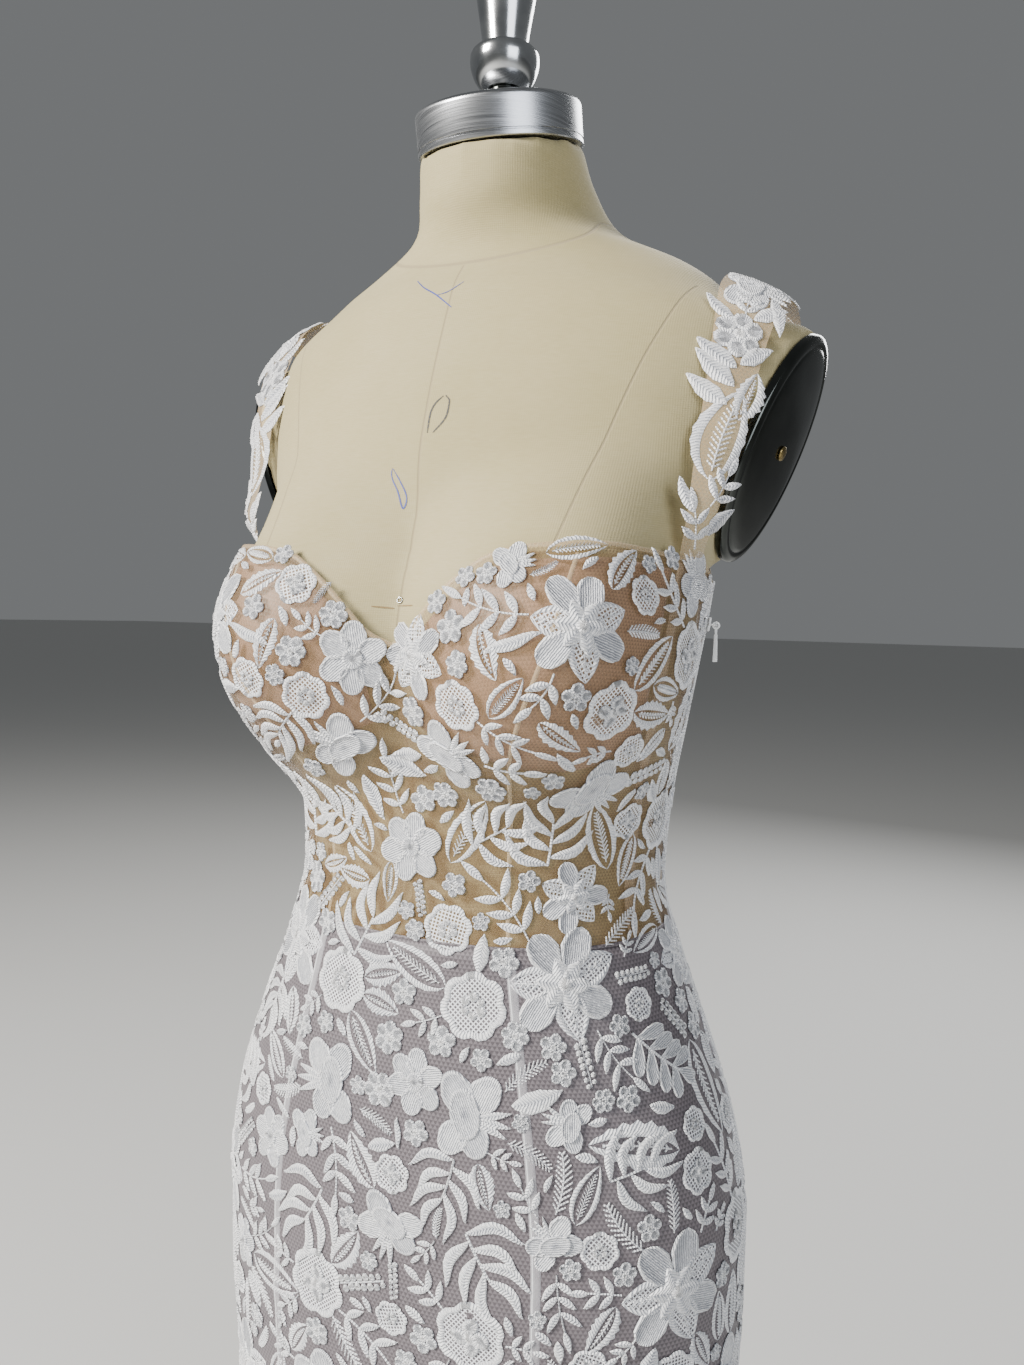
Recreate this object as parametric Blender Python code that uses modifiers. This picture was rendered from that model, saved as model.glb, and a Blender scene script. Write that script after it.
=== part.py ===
"""A lace wedding dress worn by a limbless dress form on its stand.

The dress is a fitted bodice with a sweetheart neckline and wide shoulder straps, joined at a low
waist seam to a trumpet skirt that flares below the knee. Every panel is a cloth wall of its own,
0.3 mm from its neighbours at the seams, with the thick lace motifs raised in its outer face.

Frame: metres, +Z up, the floor at z = 0 under the middle of the stand. The dress faces -Y and its
wearer's left is +X. Azimuth is the angle round the body in degrees: 0 at the centre front, +90 at
the wearer's left side and 180 at the centre back. Level is the height above the natural waist.
"""

import math

import bmesh
import bpy
import numpy as np
from mathutils import Matrix, Vector
from mathutils.geometry import delaunay_2d_cdt

# ---------------------------------------------------------------- driving sizes
WAIST = 1.060  # natural waist above the floor
SEAM_GAP = 0.0003  # between two sewn pieces
BODICE_WALL = 0.0013  # net with its lace
SKIRT_WALL = 0.0020  # lining, net and lace together
STRAP_WALL = 0.0016
CUP_WALL = 0.0014
CUP_DEPTH = 0.0030  # outer face of a cup, under the outer face of the bodice
LACE_RAISE = 0.0013  # thick lace above the net

WAIST_SEAM = -0.0275  # levels
HEM = -1.0520
CUP_FOOT = 0.075
SIDE_SEAM = 102.0  # azimuths
SIDE_FRONT_SEAM = 72.5
STRAP_FRONT_INNER = 68.0
STRAP_FRONT_OUTER = 82.0
STRAP_BACK_OUTER = 118.0
STRAP_BACK_INNER = 136.0

FLUTES = 12  # soft folds round the hem
FLUTE_DEPTH = 0.030
FLUTE_START = -0.56
FLUTE_GROWTH = 1.4  # power of their growth down to the hem

# Outer face of the dress. Columns: level, half width, front depth, back depth, y of the widest
# point, squareness (2 is an ellipse).
DRESS_SECTIONS = (
    (-1.052, 0.415, 0.340, 0.440, 0.000, 2.0),
    (-0.950, 0.350, 0.285, 0.370, 0.000, 2.0),
    (-0.850, 0.285, 0.230, 0.295, 0.000, 2.0),
    (-0.750, 0.226, 0.180, 0.226, 0.000, 2.0),
    (-0.660, 0.188, 0.146, 0.179, 0.000, 2.1),
    (-0.580, 0.170, 0.126, 0.153, 0.000, 2.1),
    (-0.500, 0.166, 0.116, 0.141, 0.000, 2.2),
    (-0.420, 0.169, 0.109, 0.132, 0.000, 2.2),
    (-0.340, 0.174, 0.107, 0.127, 0.000, 2.2),
    (-0.280, 0.178, 0.110, 0.130, 0.000, 2.2),
    (-0.215, 0.178, 0.112, 0.128, 0.000, 2.2),
    (-0.150, 0.168, 0.111, 0.119, 0.000, 2.2),
    (-0.100, 0.151, 0.107, 0.109, 0.000, 2.2),
    (-0.050, 0.132, 0.101, 0.098, 0.000, 2.2),
    (-0.020, 0.122, 0.098, 0.093, 0.000, 2.2),
    (0.000, 0.119, 0.096, 0.091, 0.000, 2.2),
    (0.050, 0.122, 0.098, 0.095, 0.000, 2.2),
    (0.100, 0.130, 0.100, 0.103, 0.000, 2.2),
    (0.155, 0.139, 0.100, 0.107, 0.002, 2.2),
    (0.200, 0.146, 0.098, 0.109, 0.006, 2.15),
    (0.240, 0.159, 0.098, 0.116, 0.012, 2.0),
)

# The dress form's own body above the dress, with the same columns. Below it, the form follows the
# dress at a clearance, and the two shapes blend over the chest.
FORM_FOOT = -0.380
FORM_CLEARANCE = 0.0055
CHEST_BLEND = (0.190, 0.240)  # levels
SHOULDER_SECTIONS = (
    (0.155, 0.134, 0.095, 0.102, 0.002, 2.2),
    (0.200, 0.141, 0.093, 0.104, 0.006, 2.15),
    (0.240, 0.160, 0.094, 0.110, 0.008, 2.0),
    (0.280, 0.166, 0.085, 0.113, 0.012, 1.95),
    (0.312, 0.173, 0.074, 0.110, 0.026, 1.95),
    (0.339, 0.167, 0.063, 0.102, 0.036, 1.95),
    (0.357, 0.145, 0.055, 0.096, 0.043, 1.95),
    (0.370, 0.132, 0.045, 0.092, 0.048, 2.0),
    (0.383, 0.112, 0.037, 0.086, 0.050, 2.0),
    (0.400, 0.073, 0.041, 0.076, 0.045, 2.0),
    (0.425, 0.057, 0.050, 0.062, 0.022, 2.0),
    (0.4526, 0.052, 0.050, 0.052, 0.0025, 2.0),
)
SECTION_COLUMNS = 5  # after the level
SECTION_WIDEST = 3  # column of the y of the widest point

# The cups: how far a bust stands out, and how wide it spreads from its fullest point.
BUST = dict(x=0.093, level=0.139, inward=0.130, outward=0.080, up=0.120, down=0.102, lean=0.30)
DRESS_BUST_DEPTH = 0.057
FORM_BUST_DEPTH = 0.054

# Neckline and back edge of the bodice. Columns: azimuth, level.
TOP_EDGE = (
    (0.0, 0.143),
    (3.5, 0.150),
    (7.0, 0.163),
    (11.0, 0.176),
    (17.0, 0.189),
    (26.0, 0.196),
    (35.0, 0.198),
    (46.0, 0.199),
    (57.0, 0.197),
    (68.0, 0.195),
    (82.0, 0.194),
    (92.0, 0.186),
    (102.0, 0.183),
    (110.0, 0.187),
    (118.0, 0.196),
    (136.0, 0.196),
    (142.0, 0.176),
    (152.0, 0.132),
    (165.0, 0.096),
    (180.0, 0.082),
)

# Princess seam from the hem up over the bust. Columns: level, azimuth.
PRINCESS_SEAM = (
    (-1.052, 27.5),
    (0.060, 27.5),
    (0.085, 27.8),
    (0.110, 30.5),
    (0.135, 34.0),
    (0.200, 40.0),
)

# Shoulder strap of the wearer's left. Columns: inner edge x, y, level; outer edge x, y, level.
STRAP_PATH = (
    (0.1465, -0.0560, 0.2220, 0.1600, -0.0455, 0.2190),
    (0.1469, -0.0470, 0.2520, 0.1650, -0.0365, 0.2470),
    (0.1475, -0.0400, 0.2740, 0.1695, -0.0300, 0.2690),
    (0.1482, -0.0320, 0.3000, 0.1730, -0.0225, 0.2920),
    (0.1475, -0.0190, 0.3300, 0.1770, -0.0120, 0.3180),
    (0.1460, -0.0010, 0.3560, 0.1810, 0.0080, 0.3430),
    (0.1450, 0.0300, 0.3690, 0.1830, 0.0330, 0.3490),
    (0.1440, 0.0580, 0.3620, 0.1820, 0.0600, 0.3430),
    (0.1430, 0.0770, 0.3370, 0.1790, 0.0800, 0.3210),
    (0.1380, 0.0860, 0.3030, 0.1720, 0.0860, 0.2900),
    (0.1270, 0.0900, 0.2620, 0.1580, 0.0820, 0.2530),
    (0.1120, 0.0900, 0.2240, 0.1420, 0.0700, 0.2200),
)

STRAP_COLUMNS = 5  # points across a strap
STRAP_CROWN = 0.0022  # a strap is slightly rounded across
STRAP_END_INSET = 1.0  # degrees, from the corners of the bodice's top edge

# The opaque cups, from under the bust to the neckline.
CUP_ROWS = 10
CUP_AZIMUTHS = (4.0, 69.0, 13)  # first, last, count
CUP_TOP_INSET = 0.007  # below the neckline
CUP_ARCH = (38.0, 34.0, 0.022)  # azimuth of its lowest point, half span, rise at the ends

BLOSSOM_PETALS = 5
ROSE_LOBES = 6
LACE_SIDES = {"blossom": 20, "rose": 12}
PETAL_NOTCH = {"blossom": 0.34, "rose": 0.10}  # share of the reach
MOTIF_EDGE = 0.0035  # width of a motif's sloping edge

# Thick lace, as pairs mirrored about the centre front. Columns: kind, azimuth, level, reach
# (radius of a flower or length of a leaf, in metres), turn (degrees from straight up).
LACE = (
    ("blossom", 12.0, 0.083, 0.034, 0),
    ("blossom", 43.0, 0.155, 0.036, 20),
    ("blossom", 52.0, 0.066, 0.036, 75),
    ("rose", 14.5, 0.112, 0.018, 0),
    ("rose", 55.0, 0.112, 0.021, 0),
    ("rose", 84.0, 0.140, 0.024, 0),
    ("leaf", 19.0, 0.155, 0.030, 160),
    ("leaf", 20.5, 0.140, 0.034, 70),
    ("leaf", 11.0, 0.019, 0.044, 30),
    ("leaf", 17.0, 0.030, 0.048, -60),
    ("leaf", 39.0, 0.020, 0.055, 5),
    ("leaf", 60.0, 0.016, 0.044, -20),
    ("rose", 86.0, 0.040, 0.024, 0),
    ("leaf", 84.0, 0.085, 0.050, 10),
    ("rose", 112.0, 0.120, 0.024, 0),
    ("blossom", 126.0, 0.140, 0.034, 35),
    ("blossom", 122.0, 0.040, 0.034, 0),
    ("leaf", 145.0, 0.090, 0.050, -30),
    ("blossom", 155.0, 0.040, 0.034, 10),
    ("blossom", 42.0, -0.046, 0.042, 15),
    ("rose", 17.0, -0.060, 0.024, 0),
    ("blossom", 15.0, -0.120, 0.040, 40),
    ("leaf", 60.0, -0.075, 0.060, 130),
    ("leaf", 45.0, -0.150, 0.052, 75),
    ("leaf", 66.0, -0.140, 0.056, -80),
    ("blossom", 60.0, -0.215, 0.044, 10),
    ("rose", 15.0, -0.245, 0.026, 0),
    ("leaf", 14.0, -0.185, 0.060, 150),
    ("blossom", 14.0, -0.315, 0.042, 0),
    ("leaf", 84.0, -0.090, 0.060, 170),
    ("rose", 88.0, -0.200, 0.026, 0),
    ("blossom", 122.0, -0.070, 0.042, 30),
    ("leaf", 140.0, -0.120, 0.056, -60),
    ("blossom", 150.0, -0.200, 0.042, 0),
    ("rose", 118.0, -0.170, 0.026, 0),
    ("leaf", 120.0, -0.260, 0.060, 20),
    ("blossom", 84.0, -0.290, 0.042, 0),
    ("blossom", 45.0, -0.345, 0.044, 50),
    ("blossom", 130.0, -0.360, 0.044, 10),
    ("rose", 163.0, -0.300, 0.026, 0),
    ("leaf", 68.0, -0.400, 0.060, 160),
    ("blossom", 15.0, -0.440, 0.044, 30),
    ("blossom", 75.0, -0.480, 0.046, 0),
    ("blossom", 160.0, -0.460, 0.046, 20),
    ("rose", 115.0, -0.480, 0.028, 0),
    ("leaf", 42.0, -0.520, 0.064, 20),
    ("blossom", 14.0, -0.590, 0.046, 0),
    ("blossom", 55.0, -0.620, 0.046, 40),
    ("blossom", 92.0, -0.640, 0.046, 0),
    ("blossom", 130.0, -0.610, 0.046, 10),
    ("blossom", 165.0, -0.640, 0.046, 50),
)

# ---------------------------------------------------------------- the form's hardware
NECK_TOP = 0.4526  # level
NECK_BASE = 0.360  # level where the neck starts to lean
NECK_TILT = math.radians(14.0)  # the top of the neck slopes down to the front
NECK_CAP_RADIUS = 0.0527
NECK_CAP_HEIGHT = 0.0255
NECK_CAP_EDGE = 0.004  # radius of its rounded edge
FINIAL_Y = 0.0046
FINIAL_FOOT = WAIST + 0.493
FINIAL_STEM_RADIUS = 0.0100
# Profile of the turned knob: its crown, its tapered neck, then its bowl. Columns: radius, height
# above its foot.
FINIAL_PROFILE = (
    (0.0000, 0.0780),
    (0.0092, 0.0765),
    (0.0161, 0.0724),
    (0.0196, 0.0650),
    (0.0184, 0.0530),
    (0.0160, 0.0390),
    (0.0144, 0.0260),
    (0.0172, 0.0250),
    (0.0212, 0.0222),
    (0.0222, 0.0182),
    (0.0209, 0.0106),
    (0.0175, 0.0045),
    (0.0127, 0.0000),
    (0.0000, 0.0000),
)
PLATE_CENTRE = (0.1716, 0.0265, WAIST + 0.2632)  # of the armhole plate on the wearer's left
PLATE_HALF_HEIGHT = 0.0712
PLATE_HALF_WIDTH = 0.0460
PLATE_THICKNESS = 0.0080
PLATE_LEAN = math.radians(19.6)  # its top stands out
PLATE_TURN = math.radians(6.6)  # its face turns to the front
PLATE_RAKE = math.radians(10.9)  # its top leans back
PLATE_SIDES = 28
PLATE_OVAL = 0.7  # its steps are this much narrower along its height than across
# Profile of a plate. Columns: share of its thickness, share of its width.
PLATE_DOME = ((0.0, 1.0), (0.50, 1.0), (0.72, 0.97), (0.78, 0.90), (0.92, 0.85), (1.0, 0.60))
# Rim of the body round a plate, run back into the body. Columns: distance out, share of the
# plate's size, width of the rim.
ARM_STUB = (
    (-0.055, 0.8, 0.0),
    (-0.030, 1.0, 0.0032),
    (-0.002, 1.0, 0.0022),
    (0.0, 1.0, 0.0),
)
SCREW_RADIUS = 0.0045
SCREW_HEIGHT = 0.0018
SCREW_TAPER = 0.8
SCREW_SIDES = 14
POLE_RADIUS = 0.0160
HUB_HEIGHT = 0.040
# Profile of the base plate and its hub. Columns: radius, height.
BASE_PROFILE = (
    (0, HUB_HEIGHT),
    (0.028, HUB_HEIGHT),
    (0.034, HUB_HEIGHT - 0.006),
    (0.034, 0.018),
    (0.040, 0.014),
    (0.192, 0.010),
    (0.200, 0.005),
    (0.200, 0.0),
    (0, 0),
)

# ---------------------------------------------------------------- zip on the wearer's left side
ZIP_AZIMUTH = SIDE_SEAM
ZIP_SLIDER_LEVEL = 0.158
SLIDER_SIZE = (0.0062, 0.0028, 0.0090)  # across, out from the cloth, up
BAIL_RADIUS = 0.0006  # of its wire
BAIL_REACH = 0.0034  # of the crossbar from the slider's face
BAIL_SPAN = 0.0058  # between the bail's legs
BAIL_ROOT = 0.0004  # of the bail's legs in the slider
PULL_RING_SIDES = 16
PULL_BAR_TOP = -0.0017  # below the pull's pivot
PULL_RING_OUTER = 0.0025
PULL_RING_INNER = 0.0011
PULL_LENGTH = 0.021
PULL_WIDTH = 0.0030
PULL_THICKNESS = 0.0012

# ---------------------------------------------------------------- mesh density
BODICE_STEP = math.radians(8.0)
BODICE_ROW = 0.021
SKIRT_STEP = math.radians(9.0)
SKIRT_ROW = 0.055
FLUTE_STEP = math.radians(360.0 / FLUTES / 6)
FLARE_ROW = 0.078
FORM_COLUMNS = 38
STRAP_STATIONS = 22
MOTIF_MARGIN = 0.006  # plain cloth left between a motif and its panel's edge
FLAT_RADIUS = 0.16  # turns an angle into metres while a panel is laid flat
BODICE_CLEAR = 0.0074  # between a panel's edge and the points inside it
SKIRT_CLEAR = 0.0120

COLLECTION = "Wedding dress on a dress form"
TOOLS = "Joined shapes"


# ---------------------------------------------------------------- materials and objects
def srgb(hex_colour):
    """Linear RGBA from an sRGB hex value."""
    channels = [int(hex_colour[i : i + 2], 16) / 255 for i in (1, 3, 5)]
    return [c / 12.92 if c <= 0.04045 else ((c + 0.055) / 1.055) ** 2.4 for c in channels] + [1.0]


def material(name, hex_colour, roughness, metallic=0.0):
    made = bpy.data.materials.new(name)
    made.use_nodes = True
    shader = made.node_tree.nodes["Principled BSDF"]
    shader.inputs["Base Color"].default_value = srgb(hex_colour)
    shader.inputs["Roughness"].default_value = roughness
    shader.inputs["Metallic"].default_value = metallic
    made.diffuse_color = srgb(hex_colour)
    return made


def fresh_collections():
    for old in list(bpy.data.objects):
        bpy.data.objects.remove(old)
    for name in (COLLECTION, TOOLS):
        bpy.context.scene.collection.children.link(bpy.data.collections.new(name))


def add_mesh(name, mesh, finish, sharp_angle=40, collection=COLLECTION):
    mesh.materials.clear()
    mesh.materials.append(finish)
    mesh.shade_smooth()
    mesh.set_sharp_from_angle(angle=math.radians(sharp_angle))
    made = bpy.data.objects.new(name, mesh)
    bpy.data.collections[collection].objects.link(made)
    return made


def united(body, tool):
    """Joins a tool's shape to a body's, and keeps the tool out of renders."""
    tool.hide_render = True
    tool.display_type = "WIRE"
    join = body.modifiers.new(tool.name, "BOOLEAN")
    join.operation = "UNION"
    join.object = tool


def box_mesh(name, size, centre):
    bm = bmesh.new()
    bmesh.ops.create_cube(bm, size=1.0)
    bmesh.ops.scale(bm, verts=bm.verts, vec=size)
    bmesh.ops.translate(bm, verts=bm.verts, vec=centre)
    mesh = bpy.data.meshes.new(name)
    bm.to_mesh(mesh)
    bm.free()
    return mesh


def mesh_of(name, points, faces):
    """A mesh from points and faces, with its normals pointing out."""
    bm = bmesh.new()
    corners = [bm.verts.new(p) for p in points]
    for face in faces:
        bm.faces.new([corners[i] for i in face])
    bmesh.ops.recalc_face_normals(bm, faces=bm.faces)
    mesh = bpy.data.meshes.new(name)
    bm.to_mesh(mesh)
    bm.free()
    return mesh


def mirrored(mesh, name):
    """A copy of a mesh on the other side of the centre front."""
    copy = mesh.copy()
    copy.name = name
    copy.transform(Matrix.Scale(-1, 4, (1, 0, 0)))
    copy.flip_normals()
    return copy


# ---------------------------------------------------------------- smooth tables
def smooth_table(rows):
    """A function that reads every column of a table smoothly at any value of its first column."""
    table = np.array(rows, float)
    key, values = table[:, 0], table[:, 1:]
    step = np.diff(key)[:, None]
    rise = np.diff(values, axis=0) / step
    middle = (rise[1:] * step[:-1] + rise[:-1] * step[1:]) / (step[1:] + step[:-1])
    middle[rise[1:] * rise[:-1] <= 0] = 0
    slope = np.vstack([rise[:1], middle, rise[-1:]])

    def read(at):
        at = np.clip(np.asarray(at, float), key[0], key[-1])
        i = np.clip(np.searchsorted(key, at, side="right") - 1, 0, len(key) - 2)
        t = ((at - key[i]) / step[i, 0])[..., None]
        h = step[i]
        return (
            (1 + 2 * t) * (1 - t) ** 2 * values[i]
            + t * (1 - t) ** 2 * h * slope[i]
            + t * t * (3 - 2 * t) * values[i + 1]
            + t * t * (t - 1) * h * slope[i + 1]
        )

    return read


dress_section = smooth_table(DRESS_SECTIONS)
shoulder_section = smooth_table(SHOULDER_SECTIONS)
top_edge = smooth_table(TOP_EDGE)
princess_seam = smooth_table(PRINCESS_SEAM)


# ---------------------------------------------------------------- the body's surface
def bust(x, level, depth):
    """How far the bust stands out in front at x, at that level."""
    side = np.abs(x) - BUST["x"]
    across = side / np.where(side > 0, BUST["outward"], BUST["inward"])
    above = level - BUST["level"]
    along = above / np.where(above > 0, BUST["up"], BUST["down"])
    return depth * np.clip(1 - across**2 - along**2, 0, None) ** 1.5


def flutes(angle, level):
    """How far the skirt's soft folds stand out, growing from the knee to the hem."""
    share = np.clip((FLUTE_START - level) / (FLUTE_START - HEM), 0, 1)
    wave = np.cos(FLUTES * angle + 0.5 * np.sin(2 * angle)) * (0.85 + 0.15 * np.sin(3 * angle + 0.7))
    return FLUTE_DEPTH * share**FLUTE_GROWTH * wave


def surface(angle, level, section=dress_section, bust_depth=DRESS_BUST_DEPTH):
    """Points of a body at an angle (radians) and level; z is above the floor."""
    angle, level = np.broadcast_arrays(np.asarray(angle, float), np.asarray(level, float))
    columns = section(level)
    half, front, back, widest, square = (columns[..., i] for i in range(SECTION_COLUMNS))
    sine, cosine = np.sin(angle), np.cos(angle)
    power = 2 / square
    x = half * np.sign(sine) * np.abs(sine) ** power
    y = widest + np.where(cosine > 0, -(front + widest), back - widest) * np.abs(cosine) ** power
    out = np.where(cosine > 0, bust(x, level, bust_depth), 0)
    x = x + BUST["lean"] * out * np.sign(x) * np.minimum(1, np.abs(x) / 0.04)
    y = y - out * math.sqrt(1 - BUST["lean"] ** 2)
    if section is dress_section:
        fold = flutes(angle, level)
        x, y = x + fold * sine, y - fold * cosine
    return np.stack([x, y, level + WAIST], -1)


def tangents(angle, level, **body):
    """Change of the surface per radian of angle and per metre of level."""
    turn, rise = 1e-3, 1e-4
    by_angle = (surface(angle + turn, level, **body) - surface(angle - turn, level, **body)) / (2 * turn)
    by_level = (surface(angle, level + rise, **body) - surface(angle, level - rise, **body)) / (2 * rise)
    return by_angle, by_level


def cloth(angle, level, out=0.0, **body):
    """Points of the dress, moved out along its normal by a distance."""
    by_angle, by_level = tangents(angle, level, **body)
    normal = np.cross(by_angle, by_level)
    normal /= np.linalg.norm(normal, axis=-1, keepdims=True)
    return surface(angle, level, **body) + normal * np.asarray(out, float)[..., None]


def form_surface(angle, level):
    """Points of the dress form: the dress drawn in by its clearance, then its own shoulders."""
    angle, level = np.broadcast_arrays(np.asarray(angle, float), np.asarray(level, float))
    low, high = CHEST_BLEND
    share = np.clip((level - low) / (high - low), 0, 1)[..., None]
    share = share * share * (3 - 2 * share)
    under_dress = cloth(angle, np.minimum(level, high), -FORM_CLEARANCE)
    flat_foot = level <= FORM_FOOT
    under_dress[flat_foot, 2] = FORM_FOOT + WAIST
    bare = surface(angle, level, section=shoulder_section, bust_depth=FORM_BUST_DEPTH)
    return under_dress * (1 - share) + bare * share


# ---------------------------------------------------------------- lace motifs
def flower_outline(kind, reach):
    """Corners of a flower: five petals for a blossom, a scalloped round for a rose."""
    sides = LACE_SIDES[kind]
    lobes = BLOSSOM_PETALS if kind == "blossom" else ROSE_LOBES
    turns = np.arange(sides) * 2 * np.pi / sides
    radius = reach * (1 - PETAL_NOTCH[kind] * (1 - np.abs(np.cos(lobes * turns / 2))))
    return np.stack([radius * np.sin(turns), radius * np.cos(turns)], -1)


def leaf_outline(reach):
    """Corners of a pointed leaf, from its stalk up one side to the tip and down the other."""
    along = np.array([0.0, 0.28, 0.68, 1.0, 0.68, 0.28])
    across = np.array([0.0, 0.20, 0.17, 0.0, -0.17, -0.20])
    return np.stack([across, along - 0.5], -1) * reach


def motif_points(kind, reach, turn):
    """(outline, raised points, heights of the raised points, loops) of one motif, lying flat."""
    if kind == "leaf":
        outline = leaf_outline(reach)
        raised = np.array([[0.0, -0.25], [0.0, 0.20]]) * reach
        heights = np.full(len(raised), LACE_RAISE)
        raised_loop = []
    else:
        outline = flower_outline(kind, reach)
        raised = np.vstack([outline * (1 - MOTIF_EDGE / reach), [[0.0, 0.0]]])
        heights = np.append(np.full(len(outline), LACE_RAISE), LACE_RAISE * 0.6)
        raised_loop = list(range(len(outline)))
    angle = math.radians(turn)
    spin = np.array([[math.cos(angle), -math.sin(angle)], [math.sin(angle), math.cos(angle)]])
    return outline @ spin, raised @ spin, heights, raised_loop


def laid_on(azimuth, level, flat):
    """Angles and levels of flat points laid on the dress round a place on it."""
    angle = math.radians(azimuth)
    by_angle, by_level = tangents(angle, level)
    return np.stack(
        [
            angle + flat[:, 0] / np.linalg.norm(by_angle),
            level + flat[:, 1] / np.linalg.norm(by_level),
        ],
        -1,
    )


def inside(points, outline):
    """Which points lie inside a closed outline, by counting crossings."""
    found = np.zeros(len(points), bool)
    for start, end in zip(outline, np.roll(outline, -1, axis=0)):
        spans = (start[1] > points[:, 1]) != (end[1] > points[:, 1])
        rise = end[1] - start[1]
        cross = start[0] + (points[:, 1] - start[1]) * (end[0] - start[0]) / (rise if rise else 1)
        found ^= spans & (points[:, 0] < cross)
    return found


def distance_to(points, outline):
    """Distance of each point to the nearest edge of a closed outline."""
    nearest = np.full(len(points), np.inf)
    for start, end in zip(outline, np.roll(outline, -1, axis=0)):
        along = end - start
        share = np.clip((points - start) @ along / max(along @ along, 1e-12), 0, 1)
        nearest = np.minimum(nearest, np.linalg.norm(points - start - share[:, None] * along, axis=1))
    return nearest


# ---------------------------------------------------------------- panels
def flat(points):
    return np.asarray(points) * [FLAT_RADIUS, 1.0]


def net(outline, middle, loops):
    """Triangles over a closed outline, through the middle points and along the loops.
    Returns them as indices into outline followed by middle."""
    points = flat(np.vstack([outline, middle]))
    ring = list(range(len(outline)))
    edges = list(zip(ring, ring[1:] + ring[:1]))
    for loop in loops:
        edges += list(zip(loop, loop[1:] + loop[:1]))
    made = delaunay_2d_cdt([Vector(p) for p in points], edges, [], 0, 1e-7)
    corners = np.array([v[:] for v in made[0]])
    original = [ids[0] for ids in made[3]]
    faces = np.array([f for f in made[2] if len(f) == 3])
    middles = corners[faces].mean(axis=1)
    kept = faces[inside(middles, flat(outline))]
    return [[original[i] for i in f] for f in kept]


def grid_inside(outline, columns, rows, keep_off, clear):
    """Grid points inside an outline, clear of its edge and of the motifs' outlines."""
    grid = np.array([(a, z) for z in rows for a in columns(z)])
    grid = grid[inside(grid, outline)]
    grid = grid[distance_to(flat(grid), flat(outline)) > clear]
    for shape in keep_off:
        near = distance_to(flat(grid), flat(shape)) < 0.5 * clear
        grid = grid[~near & ~inside(grid, shape)]
    return grid


def motifs_in(outline):
    """The mirrored lace motifs that fit in a panel: (outline, raised, heights, loop) each."""
    found = []
    for kind, azimuth, level, reach, turn in LACE:
        for side in (1, -1):
            edge, raised, heights, loop = motif_points(kind, reach, side * turn)
            edge = laid_on(side * azimuth, level, edge)
            centred = np.array([[math.radians(side * azimuth), level]])
            nearby = [
                other
                for other in found
                if inside(edge, other[0]).any()
                or distance_to(flat(edge), flat(other[0])).min() < MOTIF_MARGIN / 2
            ]
            if (
                inside(centred, outline).all()
                and inside(edge, outline).all()
                and distance_to(flat(edge), flat(outline)).min() > MOTIF_MARGIN
                and not nearby
            ):
                found.append((edge, laid_on(side * azimuth, level, raised), heights, loop))
    return found


def wall(name, outline, columns, rows, clear, thickness, finish):
    """A cloth panel: a plain inner face, and an outer face with the lace raised in it."""
    lace = motifs_in(outline)
    plain_middle = grid_inside(outline, columns, rows, [], clear)
    lace_middle = grid_inside(outline, columns, rows, [m[0] for m in lace], clear)
    middle, raise_by, loops = [lace_middle], [np.zeros(len(lace_middle))], []
    count = len(outline) + len(lace_middle)
    for edge, raised, heights, loop in lace:
        loops.append([count + i for i in range(len(edge))])
        count += len(edge)
        if loop:
            loops.append([count + i for i in loop])
        count += len(raised)
        middle += [edge, raised]
        raise_by += [np.zeros(len(edge)), heights]
    middle, raise_by = np.vstack(middle), np.concatenate(raise_by)
    ring = len(outline)
    outer = np.vstack([outline, middle])
    inner = np.vstack([outline, plain_middle])
    outer_points = cloth(outer[:, 0], outer[:, 1], np.append(np.zeros(ring), raise_by))
    inner_points = cloth(inner[:, 0], inner[:, 1], np.full(len(inner), -thickness))
    faces = net(outline, middle, loops)
    start = len(outer_points)
    faces += [[start + i for i in f] for f in net(outline, plain_middle, [])]
    for i in range(ring):
        j = (i + 1) % ring
        faces.append([i, j, start + j, start + i])
    mesh = mesh_of(name, np.vstack([outer_points, inner_points]), faces)
    return add_mesh(name, mesh, finish)


def seam_side(azimuth_of, low, high, rows, inset_towards):
    """Points up a seam, moved half the seam gap into the panel."""
    apart = 0.3 * (rows[1] - rows[0])
    levels = [low, *(z for z in rows if low + apart < z < high - apart), high]
    points = []
    for z in levels:
        angle = math.radians(azimuth_of(z))
        by_angle, _ = tangents(angle, z)
        points.append((angle + inset_towards * SEAM_GAP / 2 / np.linalg.norm(by_angle), z))
    return points


def across(level_of, start, end, step):
    """Points along a top or bottom edge, between two angles and without its ends."""
    count = max(1, round(abs(end - start) / step))
    angles = np.linspace(start, end, count + 1)[1:-1]
    return [(a, level_of(a)) for a in angles]


def panel_outline(left, right, low_edge, high_edge, rows, low_step, high_step):
    """Corners of a panel, anticlockwise from its lower left. left and right give an azimuth at a
    level; low_edge and high_edge give a level at an angle in radians."""
    left_side = side_between(left, low_edge, high_edge, rows, +1)
    right_side = side_between(right, low_edge, high_edge, rows, -1)
    bottom = across(low_edge, left_side[0][0], right_side[0][0], low_step)
    top = across(high_edge, right_side[-1][0], left_side[-1][0], high_step)
    return np.array(left_side[:1] + bottom + right_side + top + left_side[:0:-1])


def side_between(azimuth_of, low_edge, high_edge, rows, inset_towards):
    """A seam's points from the lower edge to the upper one."""
    middle = math.radians(azimuth_of(0.5 * (rows[0] + rows[-1])))
    low, high = low_edge(middle), high_edge(middle)
    for _ in range(8):
        low = low_edge(math.radians(azimuth_of(low)))
        high = high_edge(math.radians(azimuth_of(high)))
    return seam_side(azimuth_of, low, high, rows, inset_towards)


def neckline(angle):
    return float(top_edge(abs(math.degrees(angle)))[..., 0])


def bodice_foot(angle):
    return WAIST_SEAM + SEAM_GAP / 2


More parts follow.
